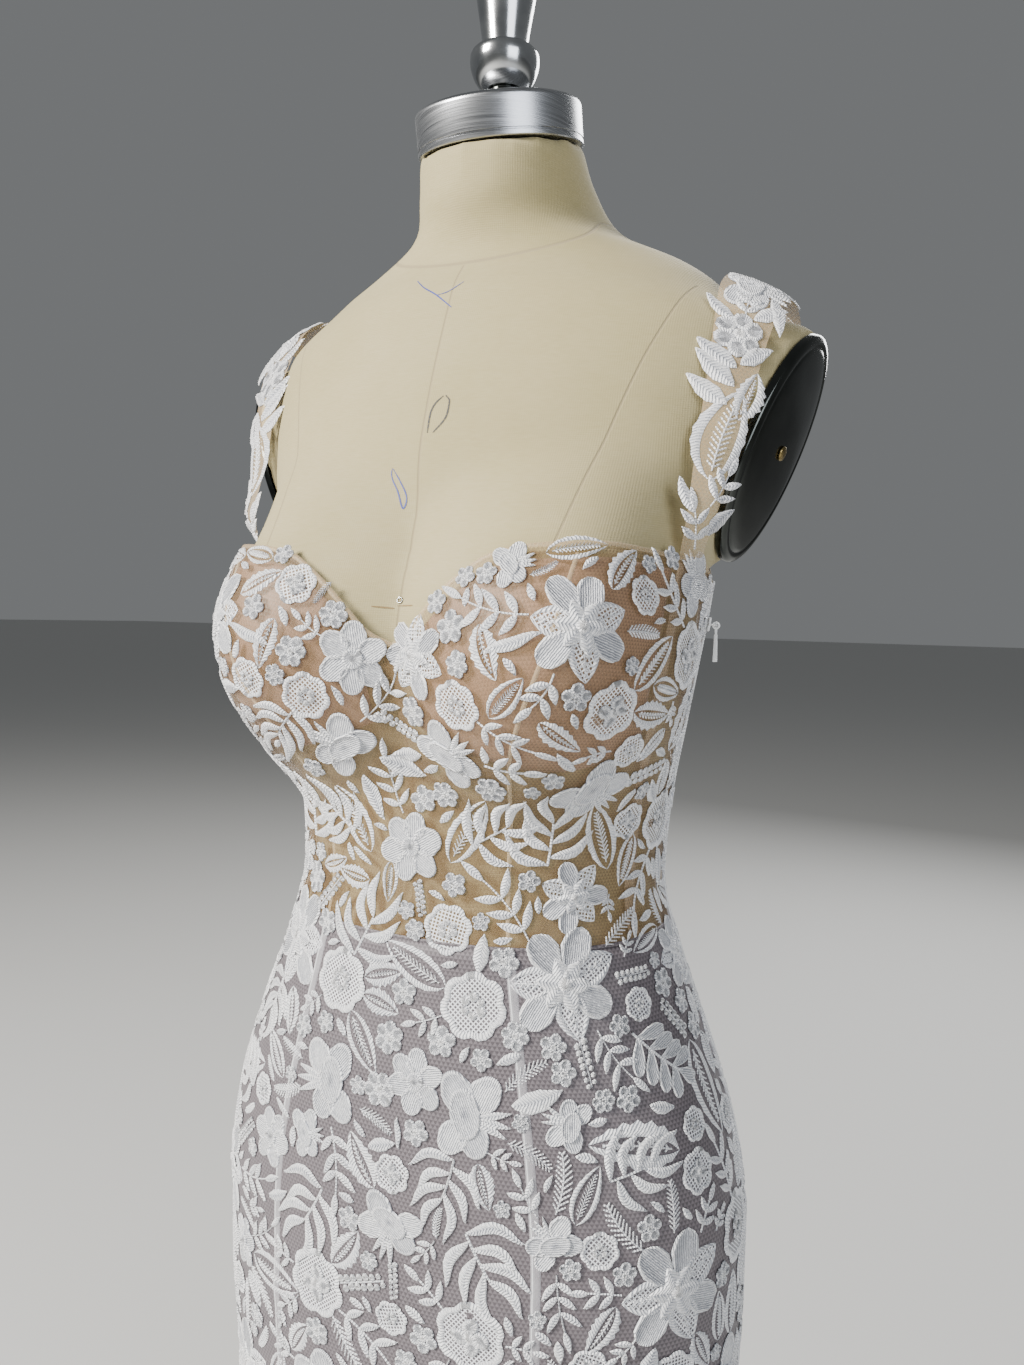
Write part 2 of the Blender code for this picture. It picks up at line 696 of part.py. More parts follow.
def skirt_top(angle):
    return WAIST_SEAM - SEAM_GAP / 2


def hem(angle):
    return HEM


def princess(level):
    return float(princess_seam(level)[..., 0])


def fixed(azimuth):
    return lambda level: azimuth


def opposite(azimuth_of):
    return lambda level: -azimuth_of(level)


def bodice_panels(finish):
    rows = list(np.arange(WAIST_SEAM + BODICE_ROW, 0.215, BODICE_ROW))
    columns = np.arange(-math.pi, math.pi, BODICE_STEP)
    pieces = (
        ("bodice_front", opposite(princess), princess),
        ("bodice_side_front_left", princess, fixed(SIDE_FRONT_SEAM)),
        ("bodice_side_left", fixed(SIDE_FRONT_SEAM), fixed(SIDE_SEAM)),
        ("bodice_back_left", fixed(SIDE_SEAM), fixed(180.0)),
        ("bodice_side_front_right", fixed(-SIDE_FRONT_SEAM), opposite(princess)),
        ("bodice_side_right", fixed(-SIDE_SEAM), fixed(-SIDE_FRONT_SEAM)),
        ("bodice_back_right", fixed(-180.0), fixed(-SIDE_SEAM)),
    )
    for name, left, right in pieces:
        outline = panel_outline(left, right, bodice_foot, neckline, rows, BODICE_STEP, BODICE_STEP * 0.6)
        wall(name, outline, lambda z: columns, rows, BODICE_CLEAR, BODICE_WALL, finish)


def skirt_panels(finish):
    smooth_rows = np.arange(WAIST_SEAM - SKIRT_ROW * 0.6, FLUTE_START, -SKIRT_ROW)
    flare_rows = np.arange(HEM + FLARE_ROW, FLUTE_START + 0.02, FLARE_ROW)
    rows = sorted([*smooth_rows, *flare_rows])
    coarse = np.arange(-math.pi, math.pi, SKIRT_STEP)
    fine = np.arange(-math.pi, math.pi, FLUTE_STEP)

    def columns(level):
        return fine if level < FLUTE_START + 0.02 else coarse

    pieces = (
        ("skirt_front", opposite(princess), princess),
        ("skirt_side_front_left", princess, fixed(SIDE_SEAM)),
        ("skirt_back_left", fixed(SIDE_SEAM), fixed(180.0)),
        ("skirt_side_front_right", fixed(-SIDE_SEAM), opposite(princess)),
        ("skirt_back_right", fixed(-180.0), fixed(-SIDE_SEAM)),
    )
    for name, left, right in pieces:
        outline = panel_outline(left, right, hem, skirt_top, rows, FLUTE_STEP, SKIRT_STEP)
        wall(name, outline, columns, rows, SKIRT_CLEAR, SKIRT_WALL, finish)


# ---------------------------------------------------------------- cups and straps
def solidified(name, mesh, thickness, finish):
    """An open surface given a wall on its inner side."""
    made = add_mesh(name, mesh, finish)
    shell = made.modifiers.new("Wall", "SOLIDIFY")
    shell.thickness = thickness
    shell.offset = -1
    shell.use_even_offset = True
    return made


def grid_faces(rows, columns):
    return [
        [r * columns + c, r * columns + c + 1, (r + 1) * columns + c + 1, (r + 1) * columns + c]
        for r in range(rows - 1)
        for c in range(columns - 1)
    ]


def cups(finish):
    """The opaque cups that show through the net, from under the bust to the neckline."""
    azimuths = np.linspace(*CUP_AZIMUTHS)
    lowest, half_span, rise = CUP_ARCH
    points = []
    for share in np.linspace(0, 1, CUP_ROWS):
        for azimuth in azimuths:
            high = float(top_edge(azimuth)[0]) - CUP_TOP_INSET
            low = CUP_FOOT + rise * (abs(azimuth - lowest) / half_span) ** 2
            level = low + share * (high - low)
            points.append(cloth(math.radians(azimuth), level, -CUP_DEPTH))
    mesh = mesh_of("cup_left", points, grid_faces(CUP_ROWS, len(azimuths)))
    face_outwards(mesh, Vector((0, 0.02, WAIST + 0.13)))
    solidified("cup_left", mesh, CUP_WALL, finish)
    solidified("cup_right", mirrored(mesh, "cup_right"), CUP_WALL, finish)


def face_outwards(mesh, centre):
    """Turns an open surface's faces away from a point inside it."""
    out = sum((p.center - centre).dot(p.normal) for p in mesh.polygons)
    if out < 0:
        mesh.flip_normals()


def strap_stations():
    """Pairs of points (inner edge, outer edge) along the strap, from the bodice front over the
    shoulder to the bodice back, just clear of the bodice's top edge."""
    ends = []
    for inner, outer in ((STRAP_FRONT_INNER, STRAP_FRONT_OUTER), (STRAP_BACK_INNER, STRAP_BACK_OUTER)):
        inset = STRAP_END_INSET * np.sign(outer - inner)
        pair = [
            cloth(math.radians(azimuth), float(top_edge(azimuth)[0]) + SEAM_GAP)
            for azimuth in (inner + inset, outer - inset)
        ]
        ends.append(np.concatenate(pair))
    path = np.array(STRAP_PATH)
    path[:, [2, 5]] += WAIST
    stations = np.vstack([ends[0], path, ends[1]])
    read = smooth_table(np.column_stack([np.arange(len(stations)), stations]))
    return read(np.linspace(0, len(stations) - 1, STRAP_STATIONS))


def straps(finish):
    points = []
    for station in strap_stations():
        inner, outer = Vector(station[:3]), Vector(station[3:])
        away = Vector((0.3, (inner.y + outer.y) / 2 - 0.02, inner.z - WAIST - 0.24)).normalized()
        for share in np.linspace(0, 1, STRAP_COLUMNS):
            points.append(inner.lerp(outer, share) + away * STRAP_CROWN * math.sin(math.pi * share))
    mesh = mesh_of("strap_left", points, grid_faces(STRAP_STATIONS, STRAP_COLUMNS))
    face_outwards(mesh, Vector((0.10, 0.025, WAIST + 0.25)))
    solidified("strap_left", mesh, STRAP_WALL, finish)
    solidified("strap_right", mirrored(mesh, "strap_right"), STRAP_WALL, finish)


# ---------------------------------------------------------------- the dress form
def plate_frame():
    """(centre, across, up, out) of the armhole plate on the wearer's left."""
    turn = Matrix.Rotation(-PLATE_TURN, 3, "Z") @ Matrix.Rotation(PLATE_LEAN, 3, "Y")
    turn = turn @ Matrix.Rotation(-PLATE_RAKE, 3, "X")
    return Vector(PLATE_CENTRE), turn @ Vector((0, 1, 0)), turn @ Vector((0, 0, 1)), turn @ Vector((1, 0, 0))


def ellipse_loft(name, rings, sides):
    """A closed solid through ellipses about the plate's axis.
    Each ring is (distance out, half width, half height)."""
    centre, across_axis, up, out = plate_frame()
    points = []
    for distance, half_width, half_height in rings:
        for i in range(sides):
            angle = 2 * math.pi * i / sides
            points.append(
                centre
                + out * distance
                + across_axis * half_width * math.cos(angle)
                + up * half_height * math.sin(angle)
            )
    faces = [list(range(sides)), list(range(len(points) - sides, len(points)))]
    for r in range(len(rings) - 1):
        for i in range(sides):
            j = (i + 1) % sides
            faces.append([r * sides + i, r * sides + j, (r + 1) * sides + j, (r + 1) * sides + i])
    return mesh_of(name, points, faces)


def form_body(finish):
    """The padded body, in one piece from the thighs to the neck, with a rim at each armhole."""
    levels = body_levels()
    angles = np.linspace(0, 2 * math.pi, FORM_COLUMNS, endpoint=False)
    points = []
    for level in levels:
        points.extend(form_surface(angles, level))
    points = [tilted_neck(Vector(p)) for p in points]
    rings = len(levels)
    faces = [list(range(FORM_COLUMNS)), list(range((rings - 1) * FORM_COLUMNS, rings * FORM_COLUMNS))]
    for r in range(rings - 1):
        for i in range(FORM_COLUMNS):
            j = (i + 1) % FORM_COLUMNS
            low, high = r * FORM_COLUMNS, (r + 1) * FORM_COLUMNS
            faces.append([low + i, low + j, high + j, high + i])
    body = add_mesh("form_body", mesh_of("form_body", points, faces), finish, sharp_angle=55)
    stub_rings = [
        (out, PLATE_HALF_WIDTH * share + rim, PLATE_HALF_HEIGHT * share + rim)
        for out, share, rim in ARM_STUB
    ]
    left = ellipse_loft("armhole_stub_left", stub_rings, PLATE_SIDES)
    for side, mesh in (("left", left), ("right", mirrored(left, "armhole_stub_right"))):
        united(body, add_mesh("armhole_stub_" + side, mesh, finish, collection=TOOLS))


def body_levels():
    """Levels of the body's rings, closer together at the bust, shoulders and neck."""
    key_levels = (
        (0, FORM_FOOT),
        (3, -0.280),
        (6, -0.150),
        (8, -0.060),
        (10, 0.020),
        (13, 0.085),
        (18, 0.200),
        (21, 0.280),
        (24, 0.345),
        (28, 0.400),
        (31, NECK_TOP),
    )
    rings, levels = zip(*key_levels)
    return np.interp(np.arange(rings[-1] + 1), rings, levels)


def tilted_neck(point):
    """Slopes the neck down to the front, from the shoulders up."""
    share = min(1.0, max(0.0, (point.z - WAIST - NECK_BASE) / (NECK_TOP - NECK_BASE)))
    return point + Vector((0, 0, math.tan(NECK_TILT * share) * point.y))


def turned(name, profile, finish, segments=32, place=None):
    """A turned solid from (radius, height) pairs, listed from its top axis point down to its
    bottom axis point."""
    mesh = bpy.data.meshes.new(name)
    points = [(radius, 0, height) for radius, height in profile]
    mesh.from_pydata(points, [(i, i + 1) for i in range(len(points) - 1)], [])
    made = add_mesh(name, mesh, finish)
    screw = made.modifiers.new("Turn", "SCREW")
    screw.steps = screw.render_steps = segments
    screw.use_merge_vertices = True
    screw.merge_threshold = 0.00002
    if place is not None:
        made.matrix_world = place
    return made


def neck_cap_and_finial(steel, dark):
    """The steel cap on the neck, and the turned knob that stands on it."""
    middle = shoulder_section(NECK_TOP)[SECTION_WIDEST]
    seat = Vector((0, middle, WAIST + NECK_TOP + math.tan(NECK_TILT) * middle))
    lean = Matrix.Rotation(NECK_TILT, 4, "X")
    axis = lean @ Vector((0, 0, 1))
    r, h, soft = NECK_CAP_RADIUS, NECK_CAP_HEIGHT, NECK_CAP_EDGE
    arc = [
        (r - soft + soft * math.sin(a), h - soft + soft * math.cos(a))
        for a in np.linspace(0, math.pi / 2, 4)
    ]
    place = Matrix.Translation(seat + axis * SEAM_GAP) @ lean
    turned("form_neck_cap", [(0, h), *arc, (r, 0), (0, 0)], steel, segments=36, place=place)

    cap_top = seat + axis * (h + 2 * SEAM_GAP)
    bm = bmesh.new()
    bmesh.ops.create_cone(
        bm,
        cap_ends=True,
        segments=16,
        radius1=FINIAL_STEM_RADIUS,
        radius2=FINIAL_STEM_RADIUS,
        depth=1,
    )
    for corner in bm.verts:
        corner.co.y += FINIAL_Y
        slope = cap_top.z + math.tan(NECK_TILT) * (corner.co.y - cap_top.y)
        corner.co.z = FINIAL_FOOT - SEAM_GAP if corner.co.z > 0 else slope
    mesh = bpy.data.meshes.new("form_finial_stem")
    bm.to_mesh(mesh)
    bm.free()
    add_mesh("form_finial_stem", mesh, dark)

    place = Matrix.Translation((0, FINIAL_Y, FINIAL_FOOT))
    turned("form_finial", FINIAL_PROFILE, steel, segments=24, place=place)


def arm_plates(dark_steel, brass):
    """The domed plates that close the armholes, each held by a central screw."""
    gap = SEAM_GAP
    dome = [
        (
            gap + PLATE_THICKNESS * out,
            PLATE_HALF_WIDTH * share,
            PLATE_HALF_HEIGHT * (1 - PLATE_OVAL * (1 - share)),
        )
        for out, share in PLATE_DOME
    ]
    left = ellipse_loft("form_arm_plate_left", dome, PLATE_SIDES)
    add_mesh("form_arm_plate_left", left, dark_steel)
    add_mesh("form_arm_plate_right", mirrored(left, "form_arm_plate_right"), dark_steel)
    face = gap + PLATE_THICKNESS + gap
    edge = SCREW_RADIUS * SCREW_TAPER
    head = [(face, SCREW_RADIUS, SCREW_RADIUS), (face + SCREW_HEIGHT, edge, edge)]
    left = ellipse_loft("form_plate_screw_left", head, SCREW_SIDES)
    add_mesh("form_plate_screw_left", left, brass)
    add_mesh("form_plate_screw_right", mirrored(left, "form_plate_screw_right"), brass)


def stand(steel):
    """The round base plate with its hub, and the pole up into the form."""
    turned("stand_base", BASE_PROFILE, steel, segments=36)
    pole_top = WAIST + FORM_FOOT - SEAM_GAP
    pole_foot = HUB_HEIGHT + SEAM_GAP
    turned(
        "stand_pole",
        [(0, pole_top), (POLE_RADIUS, pole_top), (POLE_RADIUS, pole_foot), (0, pole_foot)],
        steel,
        segments=20,
    )


# ---------------------------------------------------------------- zip slider and pull
def zip_frame():
    """A matrix whose +Y points out of the cloth and +Z up it, at the zip slider."""
    angle = math.radians(ZIP_AZIMUTH)
    centre = Vector(cloth(angle, ZIP_SLIDER_LEVEL, 2 * SEAM_GAP))
    by_angle, by_level = tangents(angle, ZIP_SLIDER_LEVEL)
    up = Vector(by_level).normalized()
    out = Vector(by_angle).cross(up).normalized()
    side = out.cross(up)
    return Matrix.Translation(centre) @ Matrix((side, out, up)).transposed().to_4x4()


def zip_slider(finish):
    """The slider's body with the small bail that holds the pull, in one piece."""
    mesh = box_mesh("zip_slider", SLIDER_SIZE, (0, SLIDER_SIZE[1] / 2, 0))
    body = add_mesh("zip_slider", mesh, finish)
    body.matrix_world = zip_frame()
    for name, centre, size in bail_bars():
        bar = add_mesh(name, box_mesh(name, size, centre), finish, collection=TOOLS)
        bar.matrix_world = zip_frame()
        united(body, bar)


def bail_bars():
    """(name, centre, size) of the bail's two legs and crossbar, from the slider's face."""
    wire = 2 * BAIL_RADIUS
    face = SLIDER_SIZE[1]
    length = BAIL_ROOT + BAIL_REACH + BAIL_RADIUS
    leg_y = face - BAIL_ROOT + length / 2
    leg = (wire, length, wire)
    return (
        ("bail_leg_a", (-BAIL_SPAN / 2, leg_y, 0), leg),
        ("bail_leg_b", (BAIL_SPAN / 2, leg_y, 0), leg),
        ("bail_bar", (0, face + BAIL_REACH, 0), (BAIL_SPAN + wire, wire, wire)),
    )


def pull_pivot():
    """Where the pull's ring hangs: the middle of the bail's crossbar."""
    return zip_frame() @ Vector((0, SLIDER_SIZE[1] + BAIL_REACH, 0))


def zip_pull(finish):
    """The pull: a ring round the crossbar and a slim bar that hangs from it."""
    side = zip_frame().to_3x3() @ Vector((1, 0, 0))
    side.z = 0
    side.normalize()
    out = side.cross(Vector((0, 0, 1)))
    if out.dot(zip_frame().to_3x3() @ Vector((0, 1, 0))) < 0:
        out.negate()
    axes = Matrix((side, out, Vector((0, 0, 1)))).transposed()
    place = Matrix.Translation(pull_pivot()) @ axes.to_4x4()
    sides = PULL_RING_SIDES
    turns = [2 * math.pi * i / sides for i in range(sides)]
    outline = [(PULL_RING_OUTER * math.cos(a), PULL_RING_OUTER * math.sin(a)) for a in turns]
    hole = [(PULL_RING_INNER * math.cos(a), PULL_RING_INNER * math.sin(a)) for a in turns]
    half = PULL_THICKNESS / 2
    points, faces = [], []
    for x in (-half, half):
        points += [(x, y, z) for y, z in outline] + [(x, y, z) for y, z in hole]
    for i in range(sides):
        j = (i + 1) % sides
        rings = ((0, sides), (2 * sides, 3 * sides))
        for a, b in rings:
            faces.append([a + i, a + j, b + j, b + i])
        faces.append([i, j, 2 * sides + j, 2 * sides + i])
        faces.append([sides + i, sides + j, 3 * sides + j, 3 * sides + i])
    ring = mesh_of("zip_pull", points, faces)
    pull = add_mesh("zip_pull", ring, finish)
    pull.matrix_world = place
    size = (PULL_THICKNESS, PULL_WIDTH, PULL_LENGTH)
    bar_mesh = box_mesh("pull_bar", size, (0, 0, PULL_BAR_TOP - PULL_LENGTH / 2))
    bar = add_mesh("pull_bar", bar_mesh, finish, collection=TOOLS)
    bar.matrix_world = place
    united(pull, bar)


def main():
    fresh_collections()
    nude_net = material("nude net with lace", "#E9DDCF", 0.85)
    lace_skirt = material("white lace over lining", "#E4E1E4", 0.80)
    cup_cloth = material("nude cup lining", "#C79E84", 0.75)
    linen = material("linen cover", "#CFC7A9", 0.90)
    steel = material("brushed steel", "#A9ABAD", 0.30, metallic=1.0)
    dark_steel = material("dark polished steel", "#3A3B3A", 0.22, metallic=1.0)
    brass = material("brass screw", "#8C7A50", 0.35, metallic=1.0)
    white_metal = material("white enamelled zip", "#F0F0EE", 0.35)
    bodice_panels(nude_net)
    skirt_panels(lace_skirt)
    cups(cup_cloth)
    straps(nude_net)
    form_body(linen)
    neck_cap_and_finial(steel, dark_steel)
    arm_plates(dark_steel, brass)
    stand(steel)
    zip_slider(white_metal)
    zip_pull(white_metal)


main()
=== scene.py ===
"""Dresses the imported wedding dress: sheer net and corded lace over a fitted bodice, a lined trumpet
skirt, wide lace straps, and the linen-covered dress form with its steel fittings.

Frame: metres, +Z up, the floor at z = 0. The dress faces -Y and its wearer's left is +X. Azimuth is
the angle round the body in degrees, 0 at the centre front and +90 at the wearer's left. Level is the
height above the natural waist. Lace is drawn flat in millimetres and then laid on the cloth.
"""

import math

import bpy
import numpy as np
from mathutils import Matrix, Vector


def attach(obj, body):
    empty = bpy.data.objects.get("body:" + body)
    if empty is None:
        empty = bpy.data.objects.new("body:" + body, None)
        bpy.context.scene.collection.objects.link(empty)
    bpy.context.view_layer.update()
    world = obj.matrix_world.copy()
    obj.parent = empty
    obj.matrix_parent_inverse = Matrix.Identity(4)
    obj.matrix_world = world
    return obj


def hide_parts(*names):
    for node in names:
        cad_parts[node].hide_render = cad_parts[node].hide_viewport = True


bl_info = {
    "name": "Lace wedding dress",
    "version": (1, 0, 0),
    "blender": (4, 5, 0),
    "location": "3D View > Sidebar > Dress",
    "description": "Builds a lace wedding dress, its dress form and a plain studio round a packed frame",
    "category": "Object",
}

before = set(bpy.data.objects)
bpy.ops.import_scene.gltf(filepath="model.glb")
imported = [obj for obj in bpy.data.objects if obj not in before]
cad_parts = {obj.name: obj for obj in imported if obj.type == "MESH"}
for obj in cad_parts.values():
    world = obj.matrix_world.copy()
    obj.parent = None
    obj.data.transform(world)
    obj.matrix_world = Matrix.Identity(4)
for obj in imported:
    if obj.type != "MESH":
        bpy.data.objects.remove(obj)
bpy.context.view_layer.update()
DRESS = "dress_and_form"  # the frame's bodies
PULL = "zip_pull"
MM = 0.001
MIRROR = Matrix.Scale(-1, 4, (1, 0, 0))  # to the other side of the centre front
SIDES = ((1, "left"), (-1, "right"))  # the wearer's

# ---------------------------------------------------------------- the body's sizes, as in the part
WAIST = 1.060
SEAM_GAP = 0.0003
WAIST_SEAM = -0.0275
HEM = -1.0520
SIDE_SEAM = 102.0
SIDE_FRONT_SEAM = 72.5
CUP_FOOT = 0.075
CUP_DEPTH = 0.0030
CUP_ARCH = (38.0, 34.0, 0.022)
FLUTES = 12
FLUTE_DEPTH = 0.030
FLUTE_START = -0.56
FLUTE_GROWTH = 1.4
# Columns: level, half width, front depth, back depth, y of the widest point, squareness.
DRESS_SECTIONS = (
    (-1.052, 0.415, 0.340, 0.440, 0.000, 2.0),
    (-0.950, 0.350, 0.285, 0.370, 0.000, 2.0),
    (-0.850, 0.285, 0.230, 0.295, 0.000, 2.0),
    (-0.750, 0.226, 0.180, 0.226, 0.000, 2.0),
    (-0.660, 0.188, 0.146, 0.179, 0.000, 2.1),
    (-0.580, 0.170, 0.126, 0.153, 0.000, 2.1),
    (-0.500, 0.166, 0.116, 0.141, 0.000, 2.2),
    (-0.420, 0.169, 0.109, 0.132, 0.000, 2.2),
    (-0.340, 0.174, 0.107, 0.127, 0.000, 2.2),
    (-0.280, 0.178, 0.110, 0.130, 0.000, 2.2),
    (-0.215, 0.178, 0.112, 0.128, 0.000, 2.2),
    (-0.150, 0.168, 0.111, 0.119, 0.000, 2.2),
    (-0.100, 0.151, 0.107, 0.109, 0.000, 2.2),
    (-0.050, 0.132, 0.101, 0.098, 0.000, 2.2),
    (-0.020, 0.122, 0.098, 0.093, 0.000, 2.2),
    (0.000, 0.119, 0.096, 0.091, 0.000, 2.2),
    (0.050, 0.122, 0.098, 0.095, 0.000, 2.2),
    (0.100, 0.130, 0.100, 0.103, 0.000, 2.2),
    (0.155, 0.139, 0.100, 0.107, 0.002, 2.2),
    (0.200, 0.146, 0.098, 0.109, 0.006, 2.15),
    (0.240, 0.159, 0.098, 0.116, 0.012, 2.0),
)
FORM_FOOT = -0.380
FORM_CLEARANCE = 0.0055
CHEST_BLEND = (0.190, 0.240)
# The form's own shoulders and neck, in the same columns.
SHOULDER_SECTIONS = (
    (0.155, 0.134, 0.095, 0.102, 0.002, 2.2),
    (0.200, 0.141, 0.093, 0.104, 0.006, 2.15),
    (0.240, 0.160, 0.094, 0.110, 0.008, 2.0),
    (0.280, 0.166, 0.085, 0.113, 0.012, 1.95),
    (0.312, 0.173, 0.074, 0.110, 0.026, 1.95),
    (0.339, 0.167, 0.063, 0.102, 0.036, 1.95),
    (0.357, 0.145, 0.055, 0.096, 0.043, 1.95),
    (0.370, 0.132, 0.045, 0.092, 0.048, 2.0),
    (0.383, 0.112, 0.037, 0.086, 0.050, 2.0),
    (0.400, 0.073, 0.041, 0.076, 0.045, 2.0),
    (0.425, 0.057, 0.050, 0.062, 0.022, 2.0),
    (0.4526, 0.052, 0.050, 0.052, 0.0025, 2.0),
)
SECTION_WIDEST = 3  # the column of the y of the widest point, after the level
BUST = dict(x=0.093, level=0.139, inward=0.130, outward=0.080, up=0.120, down=0.102, lean=0.30, fade=0.04)
DRESS_BUST_DEPTH = 0.057
FORM_BUST_DEPTH = 0.054
# Columns: azimuth, level.
TOP_EDGE = (
    (0.0, 0.143),
    (3.5, 0.150),
    (7.0, 0.163),
    (11.0, 0.176),
    (17.0, 0.189),
    (26.0, 0.196),
    (35.0, 0.198),
    (46.0, 0.199),
    (57.0, 0.197),
    (68.0, 0.195),
    (82.0, 0.194),
    (92.0, 0.186),
    (102.0, 0.183),
    (110.0, 0.187),
    (118.0, 0.196),
    (136.0, 0.196),
    (142.0, 0.176),
    (152.0, 0.132),
    (165.0, 0.096),
    (180.0, 0.082),
)
# Columns: level, azimuth.
PRINCESS_SEAM = (
    (-1.052, 27.5),
    (0.060, 27.5),
    (0.085, 27.8),
    (0.110, 30.5),
    (0.135, 34.0),
    (0.200, 40.0),
)
# Columns: inner edge x, y, level; outer edge x, y, level.
STRAP_PATH = (
    (0.1465, -0.0560, 0.2220, 0.1600, -0.0455, 0.2190),
    (0.1469, -0.0470, 0.2520, 0.1650, -0.0365, 0.2470),
    (0.1475, -0.0400, 0.2740, 0.1695, -0.0300, 0.2690),
    (0.1482, -0.0320, 0.3000, 0.1730, -0.0225, 0.2920),
    (0.1475, -0.0190, 0.3300, 0.1770, -0.0120, 0.3180),
    (0.1460, -0.0010, 0.3560, 0.1810, 0.0080, 0.3430),
    (0.1450, 0.0300, 0.3690, 0.1830, 0.0330, 0.3490),
    (0.1440, 0.0580, 0.3620, 0.1820, 0.0600, 0.3430),
    (0.1430, 0.0770, 0.3370, 0.1790, 0.0800, 0.3210),
    (0.1380, 0.0860, 0.3030, 0.1720, 0.0860, 0.2900),
    (0.1270, 0.0900, 0.2620, 0.1580, 0.0820, 0.2530),
    (0.1120, 0.0900, 0.2240, 0.1420, 0.0700, 0.2200),
)
STRAP_ENDS = ((69.0, 81.0), (135.0, 119.0))  # azimuths of the inner and outer edge, front and back
STRAP_CROWN = 0.0022
STRAP_AWAY = (0.3, 0.02, 0.24)  # the crown rises by this in x, and away from this y and level
NECK_TOP = 0.4526
NECK_BASE = 0.360
NECK_TILT = math.radians(14.0)
NECK_CAP_RADIUS = 0.0527
NECK_CAP_HEIGHT = 0.0255
FINIAL_Y = 0.0046
FINIAL_FOOT = WAIST + 0.493
FINIAL_STEM_RADIUS = 0.0100
PLATE_CENTRE = (0.1716, 0.0265, WAIST + 0.2632)
PLATE_HALF_HEIGHT = 0.0712
PLATE_HALF_WIDTH = 0.0460
PLATE_THICKNESS = 0.0080
PLATE_LEAN = math.radians(19.6)
PLATE_TURN = math.radians(6.6)
PLATE_RAKE = math.radians(10.9)
ZIP_SLIDER_LEVEL = 0.158
SLIDER_SIZE = (0.0062, 0.0028, 0.0090)
BAIL_REACH = 0.0034  # of its bar, out of the slider
BAIL_HALF_WIDTH = 0.0029
BAIL_WIRE = 0.0006  # radius


# ---------------------------------------------------------------- the body's surface
def smooth_table(rows):
    """A function that reads every column of a table smoothly at any value of its first column."""
    table = np.array(rows, float)
    key, values = table[:, 0], table[:, 1:]
    step = np.diff(key)[:, None]
    rise = np.diff(values, axis=0) / step
    middle = (rise[1:] * step[:-1] + rise[:-1] * step[1:]) / (step[1:] + step[:-1])
    middle[rise[1:] * rise[:-1] <= 0] = 0
    slope = np.vstack([rise[:1], middle, rise[-1:]])

    def read(at):
        at = np.clip(np.asarray(at, float), key[0], key[-1])
        i = np.clip(np.searchsorted(key, at, side="right") - 1, 0, len(key) - 2)
        t = ((at - key[i]) / step[i, 0])[..., None]
        h = step[i]
        return (
            (1 + 2 * t) * (1 - t) ** 2 * values[i]
            + t * (1 - t) ** 2 * h * slope[i]
            + t * t * (3 - 2 * t) * values[i + 1]
            + t * t * (t - 1) * h * slope[i + 1]
        )

    return read


dress_section = smooth_table(DRESS_SECTIONS)
shoulder_section = smooth_table(SHOULDER_SECTIONS)
top_edge = smooth_table(TOP_EDGE)
princess_seam = smooth_table(PRINCESS_SEAM)


def bust(x, level, depth):
    """How far the bust stands out in front at x, at that level."""
    side = np.abs(x) - BUST["x"]
    across = side / np.where(side > 0, BUST["outward"], BUST["inward"])
    above = level - BUST["level"]
    along = above / np.where(above > 0, BUST["up"], BUST["down"])
    return depth * np.clip(1 - across**2 - along**2, 0, None) ** 1.5


def flutes(angle, level):
    """How far the skirt's soft folds stand out, growing from the knee to the hem. They differ a little
    in width and depth round the skirt."""
    share = np.clip((FLUTE_START - level) / (FLUTE_START - HEM), 0, 1)
    wave = np.cos(FLUTES * angle + 0.5 * np.sin(2 * angle)) * (0.85 + 0.15 * np.sin(3 * angle + 0.7))
    return FLUTE_DEPTH * share**FLUTE_GROWTH * wave


def surface(angle, level, section=dress_section, bust_depth=DRESS_BUST_DEPTH):
    """Points of a body at an angle (radians) and level; z is above the floor."""
    angle, level = np.broadcast_arrays(np.asarray(angle, float), np.asarray(level, float))
    half, front, back, widest, square = np.moveaxis(section(level), -1, 0)
    sine, cosine = np.sin(angle), np.cos(angle)
    power = 2 / square
    x = half * np.sign(sine) * np.abs(sine) ** power
    y = widest + np.where(cosine > 0, -(front + widest), back - widest) * np.abs(cosine) ** power
    out = np.where(cosine > 0, bust(x, level, bust_depth), 0)
    x = x + BUST["lean"] * out * np.sign(x) * np.minimum(1, np.abs(x) / BUST["fade"])
    y = y - out * math.sqrt(1 - BUST["lean"] ** 2)
    if section is dress_section:
        fold = flutes(angle, level)
        x, y = x + fold * sine, y - fold * cosine
    return np.stack([x, y, level + WAIST], -1)


def tangents(angle, level, **body):
    """Change of the surface per radian of angle and per metre of level."""
    turn, rise = 1e-3, 1e-4
    by_angle = surface(angle + turn, level, **body) - surface(angle - turn, level, **body)
    by_level = surface(angle, level + rise, **body) - surface(angle, level - rise, **body)
    return by_angle / (2 * turn), by_level / (2 * rise)


def cloth(angle, level, out=0.0):
    """Points of the dress, moved out along its normal by a distance."""
    by_angle, by_level = tangents(angle, level)
    normal = np.cross(by_angle, by_level)
    normal /= np.linalg.norm(normal, axis=-1, keepdims=True)
    return surface(angle, level) + normal * np.asarray(out, float)[..., None]


